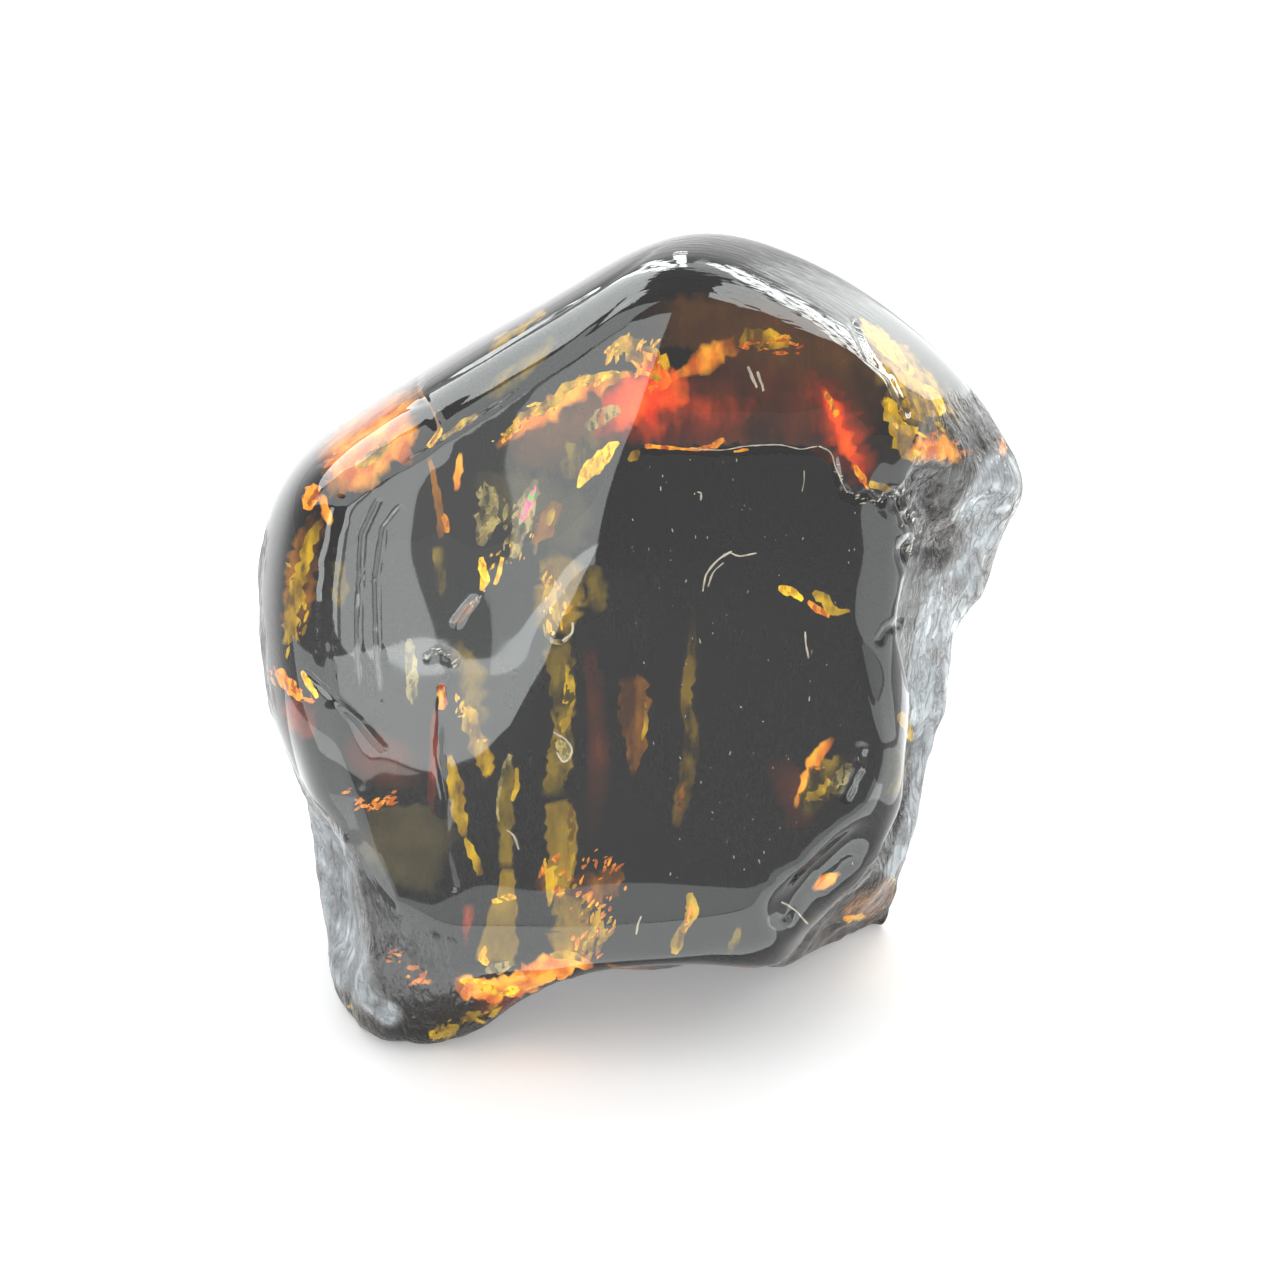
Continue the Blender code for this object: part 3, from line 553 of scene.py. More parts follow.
def amber_material():
    """Clear amber: glassy polish, satin broken stone with a pale weathered skin that in view is partly a
    painted sheen, painted shade in the skin's creases, and absorption inside.
    """
    nodes = Nodes("amber")
    broken = nodes.attribute("broken")
    # The pale layer is weathered skin and, in view, a painted sheen of reflected light
    skin_and_sheen = nodes.attribute("skin_and_sheen")
    fibres = nodes.noise(*SKIN_FIBRES)
    creases = nodes.math("ABSOLUTE", nodes.math("SUBTRACT", fibres, 0.5), 0.0)
    pale = nodes.math("MULTIPLY", skin_and_sheen, nodes.ranged(nodes.noise(*SKIN_PATCHES), *SKIN_COVER))
    # Painted shade: the skin's colour is darker in the creases of its bumps
    shade = nodes.math("MULTIPLY", nodes.ranged(creases, *SKIN_CREASE_SHADE), nodes.ranged(fibres, *SKIN_SHADES))
    skin_share = nodes.math("MULTIPLY", skin_and_sheen, 1 - BUMP_GLASS)
    rough = nodes.math("ADD", nodes.math("MULTIPLY", broken, BUMP_GLASS), skin_share)
    grain = nodes.math("MULTIPLY", nodes.ranged(creases, *BUMP_CREASES), rough)
    streaks = nodes.math("MULTIPLY", nodes.noise(*STREAKS), nodes.attribute("rim"))
    height = nodes.math("ADD", grain, nodes.math("MULTIPLY", streaks, STREAK_HEIGHT))
    bump = nodes.add("ShaderNodeBump", {"Height": height, "Distance": BUMP_DEPTH, "Strength": BUMP_STRENGTH})
    nodes.set(nodes.shader, {
        "Base Color": nodes.colour(pale, AMBER_TINT, nodes.colour(shade, SKIN_DARK, SKIN_LIGHT)),
        "Roughness": nodes.ranged(broken, 0.0, 1.0, *ROUGHNESS),
        "Transmission Weight": nodes.ranged(pale, 0.0, 1.0, 1.0, 0.0),
        "IOR": AMBER_IOR,
        "Normal": bump.outputs["Normal"],
    })
    inside = nodes.add("ShaderNodeVolumeAbsorption", {"Color": ABSORB_COLOUR, "Density": ABSORB_DENSITY})
    nodes.tree.links.new(inside.outputs["Volume"], nodes.output.inputs["Volume"])
    return nodes.material


# Leaf materials. glow is painted light, an emission that stands for the light that amber carries round inside
# itself from its far sides. grain and flake are the sizes of the colour's patches and of its single flakes.
# low and high are where the sheet's ragged edge begins and ends, and cover is how much the sheet hides
Look = namedtuple("Look", "dark light glow roughness grain flake low high cover")
LEAF_LOOKS = {
    "gold": Look((0.16, 0.095, 0.0), (0.80, 0.64, 0.01), 1.8, 0.3, 1.5, 0.0, 0.16, 0.36, 0.92),
    "honey": Look((0.26, 0.20, 0.01), (0.46, 0.38, 0.03), 1.5, 0.3, 2.0, 0.0, 0.0, 0.5, 0.95),
    "bright": Look((0.45, 0.22, 0.0), (1.0, 0.82, 0.03), 2.9, 0.3, 0.6, 0.40, 0.30, 0.40, 1.0),
    # spark: flakes coloured as painted glints, as if they caught the light
    "spark": Look((0.34, 0.05, 0.0), (1.0, 0.50, 0.02), 2.7, 0.3, 0.8, 0.50, 0.30, 0.42, 1.0),
    "orange": Look((0.55, 0.15, 0.01), (1.0, 0.58, 0.08), 2.6, 0.4, 2.2, 0.0, 0.0, 0.9, 0.95),
    "fire": Look((0.66, 0.035, 0.0), (1.0, 0.18, 0.02), 2.8, 0.6, 2.6, 0.0, 0.0, 1.1, 1.0),
    "coal": Look((0.13, 0.012, 0.0), (0.60, 0.085, 0.01), 1.7, 0.6, 2.0, 0.0, 0.0, 1.1, 0.95),
    "ember": Look((0.05, 0.016, 0.010), (0.20, 0.050, 0.03), 1.4, 0.6, 4.0, 0.0, 0.0, 0.9, 0.9),
    "haze": Look((0.10, 0.055, 0.04), (0.24, 0.13, 0.09), 1.6, 0.6, 5.0, 0.0, 0.0, 1.0, 0.9),
    "veil": Look((0.055, 0.062, 0.05), (0.135, 0.145, 0.125), 1.2, 0.6, 5.0, 0.0, 0.0, 0.7, 0.95),
    "olive": Look((0.03, 0.026, 0.0), (0.34, 0.28, 0.02), 1.5, 0.4, 1.8, 0.0, 0.10, 0.60, 0.85),
    "silver": Look((0.03, 0.03, 0.01), (0.64, 0.62, 0.34), 1.6, 0.4, 0.9, 0.50, 0.28, 0.42, 0.8),
    "brown": Look((0.08, 0.028, 0.0), (0.46, 0.22, 0.01), 1.5, 0.4, 2.0, 0.0, 0.10, 0.50, 0.92),
    "rainbow": Look((0.0, 0.8, 0.1), (1.0, 0.12, 0.6), 2.2, 0.25, 0.5, 0.3, 0.3, 0.4, 1.0),
    "white": Look((0.50, 0.54, 0.55), (0.90, 0.96, 0.98), 1.4, 0.5, 0.5, 0.0, 0.0, 0.3, 1.0),
}

# How leaves vary: their patches, their flakes with painted highlights on their edges, and their ragged edges
PATCH_STRETCH = (1.0, 1.0, 0.35)
PATCH_SHADES = (0.38, 0.62)
FLAKE_STRETCH = (1.0, 1.0, 0.45)
FLAKE_DETAIL = 3.0
FLAKE_SHADES = (0.3, 0.75)
FLAKE_SHARE = 0.6
FLAKE_EDGE = 0.05
FLAKE_EDGE_HIGHLIGHT = 1.9
EDGE_GRAIN = (0.7, 2.0, (1.0, 1.0, 0.6))
EDGE_ROUGHNESS = 0.55


def leaf_shade(nodes, look):
    """How light each spot of a leaf is: patches, flakes of their own shade, and painted highlights on the
    edges round them.
    """
    shade = nodes.ranged(nodes.noise(look.grain, stretch=PATCH_STRETCH), *PATCH_SHADES)
    if look.flake:
        flakes, edges = nodes.flakes(look.flake)
        patches = nodes.math("MULTIPLY", shade, 1 - FLAKE_SHARE)
        shade = nodes.math("ADD", patches, nodes.math("MULTIPLY", flakes, FLAKE_SHARE))
        # Painted highlights: the flakes are lighter along their edges
        shade = nodes.math("MULTIPLY", shade, nodes.ranged(edges, 0.0, 1.0, FLAKE_EDGE_HIGHLIGHT, 1.0))
    return nodes.math("MULTIPLY", shade, nodes.attribute("tone"))


def leaf_material(name):
    look = LEAF_LOOKS[name]
    nodes = Nodes(name)
    shown = nodes.colour(leaf_shade(nodes, look), look.dark, look.light)
    rag = nodes.math("SUBTRACT", nodes.noise(*EDGE_GRAIN), 0.5)
    edge = nodes.math("ADD", nodes.attribute("fade"), nodes.math("MULTIPLY", rag, EDGE_ROUGHNESS))
    nodes.set(nodes.shader, {
        "Base Color": shown,
        "Roughness": look.roughness,
        # Painted glow: the leaf gives off light in its own colour
        "Emission Color": shown,
        "Emission Strength": look.glow,
        "Alpha": nodes.ranged(edge, look.low, look.high, 0.0, look.cover),
    })
    nodes.material.cycles.emission_sampling = "NONE"
    return nodes.material


def pixels_of(points):
    """Where points of the stone show in the image."""
    away = points - np.array(EYE)
    scale = CAMERA_DISTANCE * IMAGE / IMAGE_WIDTH / (away @ np.array(FORWARD))
    across = IMAGE / 2 + (away @ np.array(RIGHT)) * scale
    down = IMAGE / 2 - (away @ np.array(UP)) * scale
    return np.column_stack([across, down])


def line_of_sight(x, y):
    pixel = IMAGE_WIDTH / IMAGE / CAMERA_DISTANCE
    return (FORWARD + RIGHT * ((x - IMAGE / 2) * pixel) + UP * ((IMAGE / 2 - y) * pixel)).normalized()


def bent(direction, normal):
    """direction after it enters amber through a surface with this normal."""
    facing = -direction.dot(normal)
    ratio = 1 / AMBER_IOR
    straight = math.sqrt(1 - ratio * ratio * (1 - facing * facing))
    return direction * ratio + normal * (ratio * facing - straight)


class Sight:
    """Finds places under the stone's front surface by the pixel that they show at."""

    def __init__(self, mesh):
        points = [vertex.co / MM for vertex in mesh.vertices]
        self.tree = BVHTree.FromPolygons(points, [face.vertices[:] for face in mesh.polygons])

    def place(self, x, y, depth):
        direction = line_of_sight(x, y)
        spot, normal, _, _ = self.tree.ray_cast(EYE, direction)
        if spot is None:
            return None
        return spot + bent(direction, normal) * depth


def nearest_on_line(points, line):
    """Distance of each image point from a line of image points."""
    nearest = np.full(len(points), np.inf)
    for (x0, y0), (x1, y1) in zip(line[:-1], line[1:]):
        along = np.array([x1 - x0, y1 - y0], float)
        share = np.clip(((points - (x0, y0)) @ along) / (along @ along), 0, 1)
        nearest = np.minimum(nearest, np.linalg.norm(points - (x0, y0) - share[:, None] * along, axis=1))
    return nearest


def polish_distance(x, z):
    """How far inside the polished area a point lies as seen from the front. It is below 0 on broken stone."""
    nearest = np.full(x.shape, np.inf)
    inside = np.zeros(x.shape, bool)
    for (x0, z0), (x1, z1) in zip(POLISH_EDGE, POLISH_EDGE[1:] + POLISH_EDGE[:1]):
        share = ((x - x0) * (x1 - x0) + (z - z0) * (z1 - z0)) / ((x1 - x0) ** 2 + (z1 - z0) ** 2)
        share = np.clip(share, 0, 1)
        nearest = np.minimum(nearest, np.hypot(x - x0 - share * (x1 - x0), z - z0 - share * (z1 - z0)))
        if z0 != z1:
            inside ^= ((z0 > z) != (z1 > z)) & (x < (x1 - x0) * (z - z0) / (z1 - z0) + x0)
    return np.where(inside, nearest, -nearest)


def noise_at(points, size, seed=0.0):
    """Smooth noise between about -1 and 1 at each point."""
    offset = Vector((seed, -seed, 2 * seed))
    return np.array([noise.noise(Vector(point) / size + offset) for point in points])


def shells_at(points, size):
    """Low in the middle of each shell-shaped scoop and high at its edges, from 0 to 1."""
    return np.array([min(noise.voronoi(Vector(point) / size)[0][0], 1.0) ** 2 for point in points])


def smooth_body(node):
    """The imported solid's triangles, joined back to quads and smoothed."""
    cage = bmesh.new()
    cage.from_mesh(node.data)
    bmesh.ops.remove_doubles(cage, verts=cage.verts, dist=WELD)
    bmesh.ops.join_triangles(
        cage, faces=cage.faces, angle_face_threshold=JOIN_ANGLE, angle_shape_threshold=JOIN_ANGLE
    )
    data = bpy.data.meshes.new("amber_body")
    cage.to_mesh(data)
    cage.free()
    if data.has_custom_normals:
        data.attributes.remove(data.attributes["custom_normal"])
    body = put("amber_body", data)
    smooth = body.modifiers.new("Smooth", "SUBSURF")
    smooth.levels = smooth.render_levels = SMOOTH_LEVELS
    fine = bpy.data.meshes.new_from_object(body.evaluated_get(bpy.context.evaluated_depsgraph_get()))
    body.modifiers.clear()
    body.data = fine
    return body


def refine_marks(body):
    mesh = bmesh.new()
    mesh.from_mesh(body.data)
    centres = np.array([face.calc_center_median() for face in mesh.faces]) / MM
    facing = np.array([face.normal for face in mesh.faces]) @ TOWARDS_CAMERA
    shown = pixels_of(centres)
    near = np.zeros(len(centres), bool)
    for _, _, line in PRESSED:
        near |= nearest_on_line(shown, line) < REFINE_MARGIN
    near &= facing > REFINE_FACING
    edges = {edge for face, wanted in zip(mesh.faces[:], near) if wanted for edge in face.edges}
    bmesh.ops.subdivide_edges(mesh, edges=list(edges), cuts=REFINE_CUTS, use_grid_fill=True)
    mesh.to_mesh(body.data)
    mesh.free()


def line_mask(shown, half_width, line, end):
    """1 away from a line of image points and 0 on it."""
    return smooth_step(nearest_on_line(shown, line), end[0] * half_width, end[1] * half_width)


def dark_skin(shown):
    """0 in the glassy pocket and 1 away from it."""
    clear = np.ones(len(shown))
    for half_width, line in DARK_SKIN:
        clear *= line_mask(shown, half_width, line, DARK_END)
    return clear


def front_skin_and_sheen(shown):
    """How pale the broken stone is at each image point, from 0 to 1: weathered skin and painted sheen."""
    pale = np.full(len(shown), FRONT_SKIN)
    for half_width, line in PALE_SKIN_AND_SHEEN:
        pale = np.maximum(pale, 1 - line_mask(shown, half_width, line, PALE_END))
    return pale * dark_skin(shown)


def broken_height(points, normals, shown):
    """How far broken stone is moved outwards."""
    height = np.zeros(len(points))
    for size, depth in SHELLS:
        height += depth * (shells_at(points, size) - SHELL_LEVEL)
    size, depth = RIDGES
    height += depth * (1 - 2 * np.abs(noise_at(points * (1.0, 1.0, RIDGE_STRETCH), size)))
    glassy = 1 - dark_skin(shown)
    deep = (glassy > 0) & (normals @ TOWARDS_CAMERA > 0)
    size, depth = POCKET
    height[deep] += depth * glassy[deep] * (shells_at(points[deep], size) - SHELL_LEVEL)
    return height


def pressed_depth(points, shown):
    """How deep the front's marks are at each point."""
    total = np.zeros(len(points))
    wander, size = MARK_WANDER
    for depth, half_width, line in PRESSED:
        off = nearest_on_line(shown, line)
        near = off < 2 * half_width
        wide = half_width * (1 + wander * noise_at(points[near], size, MARK_SEED))
        total[near] += depth * (1 - smooth_step(off[near], 0.0, wide))
    return total


def pale_skin_and_sheen(points, shown, facing):
    """How pale broken stone is: by its place in the image in front, where it is partly a painted sheen, and
    in patches behind.
    """
    hidden = HIDDEN_SKIN
    for size, bare, full in HIDDEN_PATCHES:
        hidden = hidden * smooth_step(noise_at(points, size, PATCH_SEED), bare, full)
    return mixed(hidden, front_skin_and_sheen(shown), facing)


def rim_share(points, normals):
    """1 on the stretch of the rim with brushed streaks and 0 away from it."""
    first, last = RIM_STREAKS
    share = smooth_step(normals[:, 2], *RIM_RISE) * smooth_step(points[:, 0], *first)
    return share * (1 - smooth_step(points[:, 0], *last))


def relief(points, normals):
    """How far each point is moved outwards, and the masks that the material reads."""
    wander, size = EDGE_WANDER
    edge = polish_distance(points[:, 0], points[:, 2]) + wander * noise_at(points, size)
    behind = POLISH_BACK_Y - points[:, 1] + wander * noise_at(points, size, BEHIND_SEED)
    broken = 1 - smooth_step(np.minimum(edge, behind), -EDGE_FADE, 0.0)
    rough = broken > 0
    shown = pixels_of(points)
    facing = smooth_step(normals @ TOWARDS_CAMERA, 0.0, FACING_FADE)
    height = np.zeros(len(points))
    height[rough] = broken[rough] * broken_height(points[rough], normals[rough], shown[rough])
    for size, depth in POLISH_WAVES:
        height += depth * (1 - broken) * noise_at(points, size, WAVE_SEED)
    height -= facing * pressed_depth(points, shown)
    height *= smooth_step(points[:, 2], 0.0, FOOT_HEIGHT)
    # Pale weathered skin, and in view a painted sheen of reflected light
    skin_and_sheen = broken * pale_skin_and_sheen(points, shown, facing)
    return height, {"broken": broken, "skin_and_sheen": skin_and_sheen, "rim": (1 - broken) * rim_share(points, normals)}


def vertex_arrays(mesh):
    points = np.empty(len(mesh.vertices) * 3, np.float32)
    normals = np.empty(len(mesh.vertices) * 3, np.float32)
    mesh.vertices.foreach_get("co", points)
    mesh.vertex_normals.foreach_get("vector", normals)
    return points.reshape(-1, 3).astype(float) / MM, normals.reshape(-1, 3).astype(float)


def make_body():
    body = smooth_body(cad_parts[STONE])
    refine_marks(body)
    points, normals = vertex_arrays(body.data)
    height, masks = relief(points, normals)
    points = points + normals * height[:, None]
    low, high = (np.array(corner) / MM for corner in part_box(STONE))
    points = np.clip(points, low, high)
    body.data.vertices.foreach_set("co", (points * MM).ravel())
    set_values(body.data, masks)
    body.data.materials.clear()
    body.data.materials.append(amber_material())
    body.data.shade_smooth()
    body.data.update()
    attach(body, BODY)
    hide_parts(STONE)
    return body


# Clusters of shards under the hidden sides: how far a face must turn from the camera to have them, the lowest
# they lie in metres, their number, how many shards each has, and in millimetres depth, spread and half sizes
HIDDEN_TURN = 0.25
HIDDEN_FOOT = 0.006
HIDDEN_CLUSTERS = 46
HIDDEN_KINDS = ("spark", "spark", "gold", "bright", "orange", "brown")
HIDDEN_COUNT = 9
HIDDEN_DEPTH = 1.3
HIDDEN_SPREAD = 1.3
HIDDEN_SIZE = (0.35, 0.9)

# Sheets: their step in pixels, thickness in metres, and the offset between one sheet's noise and the next's
LEAF_STEP = 4.0
LEAF_THICKNESS = 0.00005
LEAF_LEAST_DEPTH = 0.2
LEAF_SEEDS = iter(range(1, 100000))
SEED_STEP = 7.3

# How a sheet varies: steps of its ragged sides, its crumple's two sizes in pixels and the share of the
# smaller, its least softness, and the size, offset and spread of its tones
RAG_STEP = 0.55
RAG_SIDE = 3.0
CRUMPLE_SIZES = (11, 4.5)
CRUMPLE_FINE = 0.6
LEAST_SOFTNESS = 0.05
TONE_SIZE = 26
TONE_SEED = 5
TONE_SPREAD = 0.9

# Shards: numbers of corners, how uneven they are, tones, and in the front also off-line spread, share of the
# half size, length, and spread of turn and tilt
SHARD_CORNERS = (4, 7)
SHARD_UNEVEN = 0.3
SHARD_TONES = (0.3, 1.2)
SHARD_SPREAD = 0.45
SHARD_SIZES = (0.3, 1.2)
SHARD_LENGTHS = (1.2, 4.5)
SHARD_TURN = 0.35
SHARD_TILT = 0.05


class Leaves:
    """Thin sheets of one material, gathered into one mesh."""

    def __init__(self, name):
        self.name = name
        self.points = []
        self.faces = []
        self.fades = []
        self.tones = []

    def add(self, points, faces, fades, tones):
        """Adds a sheet, leaving out the faces with a corner that has no place."""
        first = len(self.points)
        kept = [face for face in faces if all(points[corner] is not None for corner in face)]
        self.points += [point if point is not None else Vector() for point in points]
        self.fades += fades
        self.tones += tones
        self.faces += [[first + corner for corner in face] for face in kept]

    def add_shard(self, points, tone):
        corners = len(points)
        self.add(points, [list(range(corners))], [1.0] * corners, [tone] * corners)

    def make(self):
        data = bpy.data.meshes.new(self.name)
        data.from_pydata([point * MM for point in self.points], [], self.faces)
        set_values(data, {"fade": self.fades, "tone": self.tones})
        tidy = bmesh.new()
        tidy.from_mesh(data)
        loose = [vertex for vertex in tidy.verts if not vertex.link_faces]
        bmesh.ops.delete(tidy, geom=loose, context="VERTS")
        tidy.to_mesh(data)
        tidy.free()
        data.materials.append(leaf_material(self.name))
        piece = put(self.name + "_leaves", data)
        thick = piece.modifiers.new("Thick", "SOLIDIFY")
        thick.thickness = LEAF_THICKNESS
        thick.offset = 0.0
        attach(piece, BODY)
        return piece


def resampled(line, step):
    """A smooth line through rows of numbers whose first two are pixels, at about this many pixels a step."""
    knots = np.array(line, float)
    padded = np.vstack([2 * knots[0] - knots[1], knots, 2 * knots[-1] - knots[-2]])
    rows = []
    for a, b, c, d in zip(padded[:-3], padded[1:-2], padded[2:-1], padded[3:]):
        count = max(int(np.hypot(*(c - b)[:2]) / step), 1)
        t = np.linspace(0, 1, count, endpoint=False)[:, None]
        bend = (2 * a - 5 * b + 4 * c - d) * t**2 + (3 * b - a - 3 * c + d) * t**3
        rows.append(0.5 * (2 * b + (c - a) * t + bend))
    return np.vstack([*rows, knots[-1:]])


def noise_on(x, y, size, seed):
    """Noise at a pixel, of this size in pixels."""
    return noise.noise(Vector((x / size, y / size, seed)))


def leaf_lift(x, y, seed):
    """The crumple of a sheet at a pixel: large waves and smaller ones."""
    large, small = CRUMPLE_SIZES
    return noise_on(x, y, large, seed) + CRUMPLE_FINE * noise_on(x, y, small, seed)


def grid_faces(rows, across):
    return [
        [i * across + j, i * across + j + 1, (i + 1) * across + j + 1, (i + 1) * across + j]
        for i in range(rows - 1)
        for j in range(across - 1)
    ]


def add_leaf(leaves, sight, depth, softness, raggedness, crumple, line):
    """A sheet along a line, with ragged sides and a crumpled surface. softness is how far its edges fade in,
    as a share of its half width, and may differ between its two sides."""
    seed = next(LEAF_SEEDS) * SEED_STEP
    upper, lower = softness if isinstance(softness, tuple) else (softness, softness)
    rows = resampled(line, LEAF_STEP)
    tangent = np.gradient(rows[:, :2], axis=0)
    tangent /= np.linalg.norm(tangent, axis=1)[:, None] + 1e-9
    sideways = np.column_stack([-tangent[:, 1], tangent[:, 0]])
    across = max(int(2 * rows[:, 2].max() / LEAF_STEP), 4) + 1
    points, fades, tones = [], [], []
    for i, ((x, y, half), (nx, ny)) in enumerate(zip(rows, sideways)):
        end = min(i, len(rows) - 1 - i) / max(max(upper, lower) * len(rows) * 0.5, 1.0)
        for j in range(across):
            v = 2 * j / (across - 1) - 1
            side, soft = (1.0, lower) if v > 0 else (-1.0, upper)
            rag = 1 + raggedness * noise.noise(Vector((i * RAG_STEP, side * RAG_SIDE, seed)))
            px, py = x + nx * v * half * rag, y + ny * v * half * rag
            deep = max(depth + crumple * leaf_lift(px, py, seed), LEAF_LEAST_DEPTH)
            points.append(sight.place(px, py, deep))
            fades.append(float(min((1 - abs(v)) / max(soft, LEAST_SOFTNESS), end, 1.0)))
            tones.append(1.0 + TONE_SPREAD * noise_on(px, py, TONE_SIZE, seed + TONE_SEED))
    leaves.add(points, grid_faces(len(rows), across), fades, tones)


def shard_angles(corners, rng):
    """The angles of a shard's corners, spaced unevenly."""
    uneven = (-SHARD_UNEVEN, SHARD_UNEVEN)
    return [math.tau * (corner + rng.uniform(*uneven)) / corners for corner in range(corners)]


def add_shards(leaves, sight, depths, count, half_size, slant, line, rng):
    """Small tilted shards scattered along a line, each with its own shade. slant is the angle at which they
    rise to the right, in degrees."""
    rows = resampled(line, LEAF_STEP)
    for _ in range(count):
        x, y, half = rows[rng.integers(len(rows))]
        right, down = rng.normal(0, SHARD_SPREAD, 2) * half
        depth = rng.uniform(*depths)
        size = half_size * rng.uniform(*SHARD_SIZES)
        turn = rng.normal(-math.radians(slant), SHARD_TURN)
        long = rng.uniform(*SHARD_LENGTHS)
        tilt = rng.normal(0, SHARD_TILT, 2)
        corners = rng.integers(*SHARD_CORNERS)
        tone = rng.uniform(*SHARD_TONES)
        points = []
        for angle in shard_angles(corners, rng):
            u, v = size * long * math.cos(angle), size * math.sin(angle)
            du, dv = u * math.cos(turn) - v * math.sin(turn), u * math.sin(turn) + v * math.cos(turn)
            deep = max(depth + tilt[0] * du + tilt[1] * dv, LEAF_LEAST_DEPTH)
            points.append(sight.place(x + right + du, y + down + dv, deep))
        leaves.add_shard(points, tone)


def add_hidden_shards(gathered, mesh, rng):
    """Clusters of shards under the faces that the photograph doesn't show, flat under the surface."""
    faces = [face for face in mesh.polygons if face.normal.dot(FORWARD) > HIDDEN_TURN]
    faces = [face for face in faces if face.center.z > HIDDEN_FOOT]
    for _ in range(HIDDEN_CLUSTERS):
        face = faces[rng.integers(len(faces))]
        name = HIDDEN_KINDS[rng.integers(len(HIDDEN_KINDS))]
        along = face.normal.cross(RIGHT).normalized()
        over = face.normal.cross(along)
        middle = face.center / MM - face.normal * HIDDEN_DEPTH
        for _ in range(HIDDEN_COUNT):
            right, up = rng.normal(0, HIDDEN_SPREAD, 2)
            points = []
            for angle in shard_angles(rng.integers(*SHARD_CORNERS), rng):
                u, v = right + HIDDEN_SIZE[0] * math.cos(angle), up + HIDDEN_SIZE[1] * math.sin(angle)
                points.append(middle + over * u + along * v)
            gathered[name].add_shard(points, rng.uniform(*SHARD_TONES))


def make_leaves(sight):
    gathered = {name: Leaves(name) for name in LEAF_LOOKS}
    for name, *leaf in LEAVES:
        add_leaf(gathered[name], sight, *leaf)
    rng = np.random.default_rng(CRACKLE_SEED)
    for name, least, greatest, *swarm in CRACKLE:
        add_shards(gathered[name], sight, (least, greatest), *swarm, rng)
    white = gathered["white"]
    for half_width, line in SCRATCHES:
        rows = [(x, y, half_width) for x, y in line]
        add_leaf(white, sight, SCRATCH_DEPTH, 0.0, SCRATCH_RAGGEDNESS, 0.0, rows)
    (left, top), (right, bottom) = DUST_FIELD
    for _ in range(DUST_COUNT):
        x, y = rng.uniform(left, right), rng.uniform(top, bottom)
        add_shards(white, sight, DUST_DEPTHS, 1, DUST_HALF_SIZE, UPRIGHT, [(x, y, 1), (x + 1, y, 1)], rng)
    add_hidden_shards(gathered, stone.data, rng)
    for leaves in gathered.values():
        leaves.make()


def make_camera():
    data = bpy.data.cameras.new("camera")
    data.sensor_width = SENSOR
    data.lens = SENSOR * CAMERA_DISTANCE / IMAGE_WIDTH
    data.clip_start = CLIP_START
    camera = put("camera", data)
    camera.location = EYE * MM
    camera.rotation_euler = (math.pi / 2 - CAMERA_ELEVATION, 0.0, 0.0)
    bpy.context.scene.camera = camera


# A pale table, lit a little from below as product tables are
FLOOR_SIZE = 6.0
FLOOR_COLOUR = (0.90, 0.90, 0.90, 1.0)
FLOOR_ROUGHNESS = 0.7
FLOOR_GLOW = 0.27
WHITE = (1.0, 1.0, 1.0, 1.0)


def make_floor():
    bpy.ops.mesh.primitive_plane_add(size=FLOOR_SIZE, location=(0.0, 0.0, 0.0))
    floor = bpy.context.object
    floor.name = "floor"
    nodes = Nodes("floor")
    nodes.set(nodes.shader, {
        "Base Color": FLOOR_COLOUR,
        "Roughness": FLOOR_ROUGHNESS,
        "Emission Color": WHITE,
        "Emission Strength": FLOOR_GLOW,
    })
    floor.data.materials.append(nodes.material)


# Soft lights round the stone: azimuth from the front towards the left, elevation, width and height in metres,
# and brightness next to the white world's 1. They show in the polish; only the lamp also lights the floor
STONE_MIDDLE = Vector((0.0, 0.0, 0.04))
LIGHT_DISTANCE = 0.6
LIGHTS = [
    ("left_top", 115.0, 47.0, 0.60, 0.44, 6.5),
    ("right_side", -74.0, 62.0, 0.30, 0.18, 6.0),
    ("right_back", -151.0, 8.0, 0.26, 0.30, 1.6),
    ("left_high", 50.0, 29.0, 0.66, 0.30, 3.0),
    ("front_left", 12.1, 3.0, 0.160, 0.30, 3.6),
    ("left_fill", 34.9, 1.0, 0.326, 0.26, 1.1),
    ("left_near", 26.9, 1.0, 0.096, 0.26, 3.8),
    ("left_far", 42.0, 1.0, 0.16, 0.26, 5.0),
    ("right", -66.0, 2.0, 0.50, 0.16, 1.3),
]
LAMP = ("key", -150.0, 62.0, 0.30, 0.30, 3.0)

# Rows of narrow cards, which show as fine bright lines: azimuths, elevations, width, height and brightness
COMBS = [
    ("top_comb", (151.0, 164.0, 177.0), (48.0,), 0.05, 0.44, 15.0),
    ("right_comb", (-122.0,), (26.0, 36.0, 46.0, 56.0), 0.56, 0.075, 13.0),
]

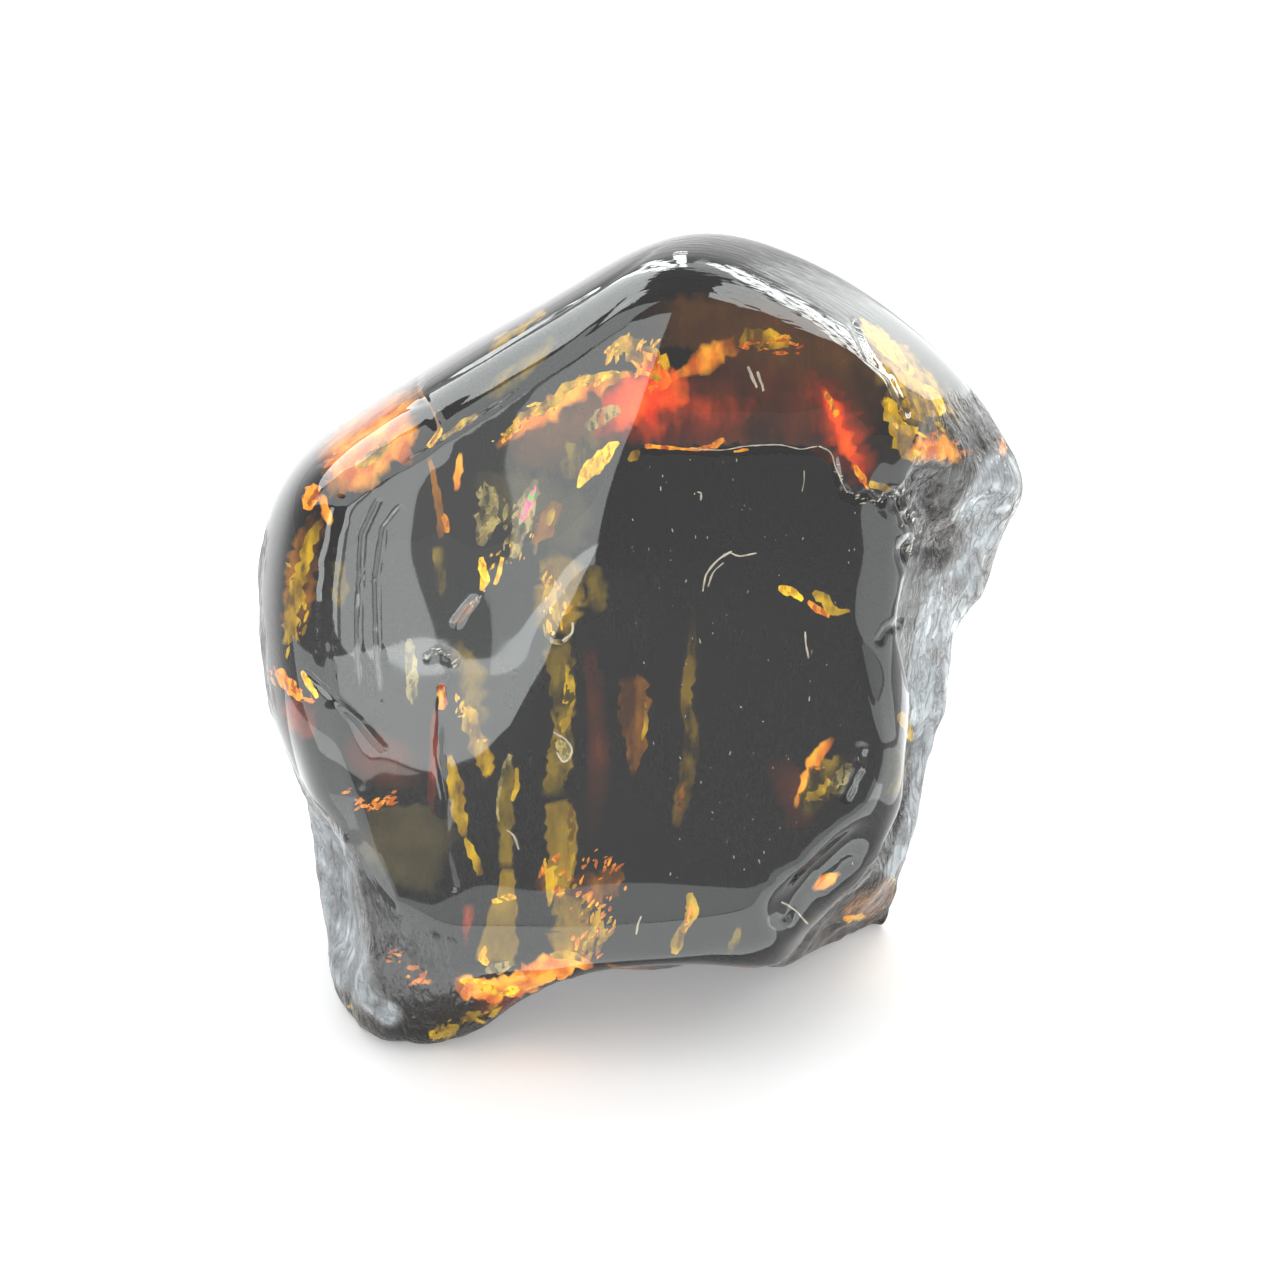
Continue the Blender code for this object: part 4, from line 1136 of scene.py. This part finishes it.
# Bright sheets that lie on the table: middle, width and length, and brightness
TABLE_SHEETS = [
    ("table_front", (0.0, -0.043), (0.15, 0.034), 2.9),
    ("table_next", (0.0, -0.075), (0.15, 0.028), 1.6),
    ("table_facet", (-0.158, -0.495), (0.204, 0.53), 4.6),
    ("table_roll", (-0.16, -0.132), (0.12, 0.185), 2.6),
    ("table_left", (-0.085, -0.02), (0.06, 0.10), 1.8),
    ("table_bevel", (0.32, -0.16), (0.34, 0.34), 2.0),
    ("table_right", (0.095, 0.01), (0.07, 0.14), 2.0),
]
SHEET_HEIGHT = 0.002
LIGHT_COLOUR = (0.95, 1.0, 0.99)
WORLD_BRIGHTNESS = 1.03


def add_light(name, place, turned, width, height, brightness, lamp):
    data = bpy.data.lights.new(name, "AREA")
    data.shape = "RECTANGLE"
    data.size, data.size_y = width, height
    data.energy = brightness * width * height * math.pi
    data.color = LIGHT_COLOUR
    light = put(name, data)
    light.location = place
    light.rotation_euler = turned
    light.visible_camera = False
    light.visible_diffuse = lamp


def towards(azimuth, elevation):
    turn, rise = math.radians(azimuth), math.radians(elevation)
    return Vector((-math.sin(turn) * math.cos(rise), -math.cos(turn) * math.cos(rise), math.sin(rise)))


def add_card(name, azimuth, elevation, width, height, brightness, lamp=False):
    """A light that faces the stone from this azimuth and elevation."""
    away = towards(azimuth, elevation)
    turned = (-away).to_track_quat("-Z", "Y").to_euler()
    add_light(name, STONE_MIDDLE + away * LIGHT_DISTANCE, turned, width, height, brightness, lamp)


def make_lights():
    for light in LIGHTS:
        add_card(*light)
    add_card(*LAMP, lamp=True)
    for name, azimuths, elevations, width, height, brightness in COMBS:
        for azimuth, elevation in itertools.product(azimuths, elevations):
            add_card(name, azimuth, elevation, width, height, brightness)
    for name, (x, y), (width, length), brightness in TABLE_SHEETS:
        add_light(name, (x, y, SHEET_HEIGHT), (math.pi, 0.0, 0.0), width, length, brightness, False)
    world = bpy.data.worlds.new("studio")
    world.use_nodes = True
    world.node_tree.nodes["Background"].inputs["Color"].default_value = WHITE
    world.node_tree.nodes["Background"].inputs["Strength"].default_value = WORLD_BRIGHTNESS
    bpy.context.scene.world = world
    bpy.context.scene.view_settings.view_transform = "Standard"


make_camera()
make_floor()
make_lights()
stone = make_body()
make_leaves(Sight(stone.data))
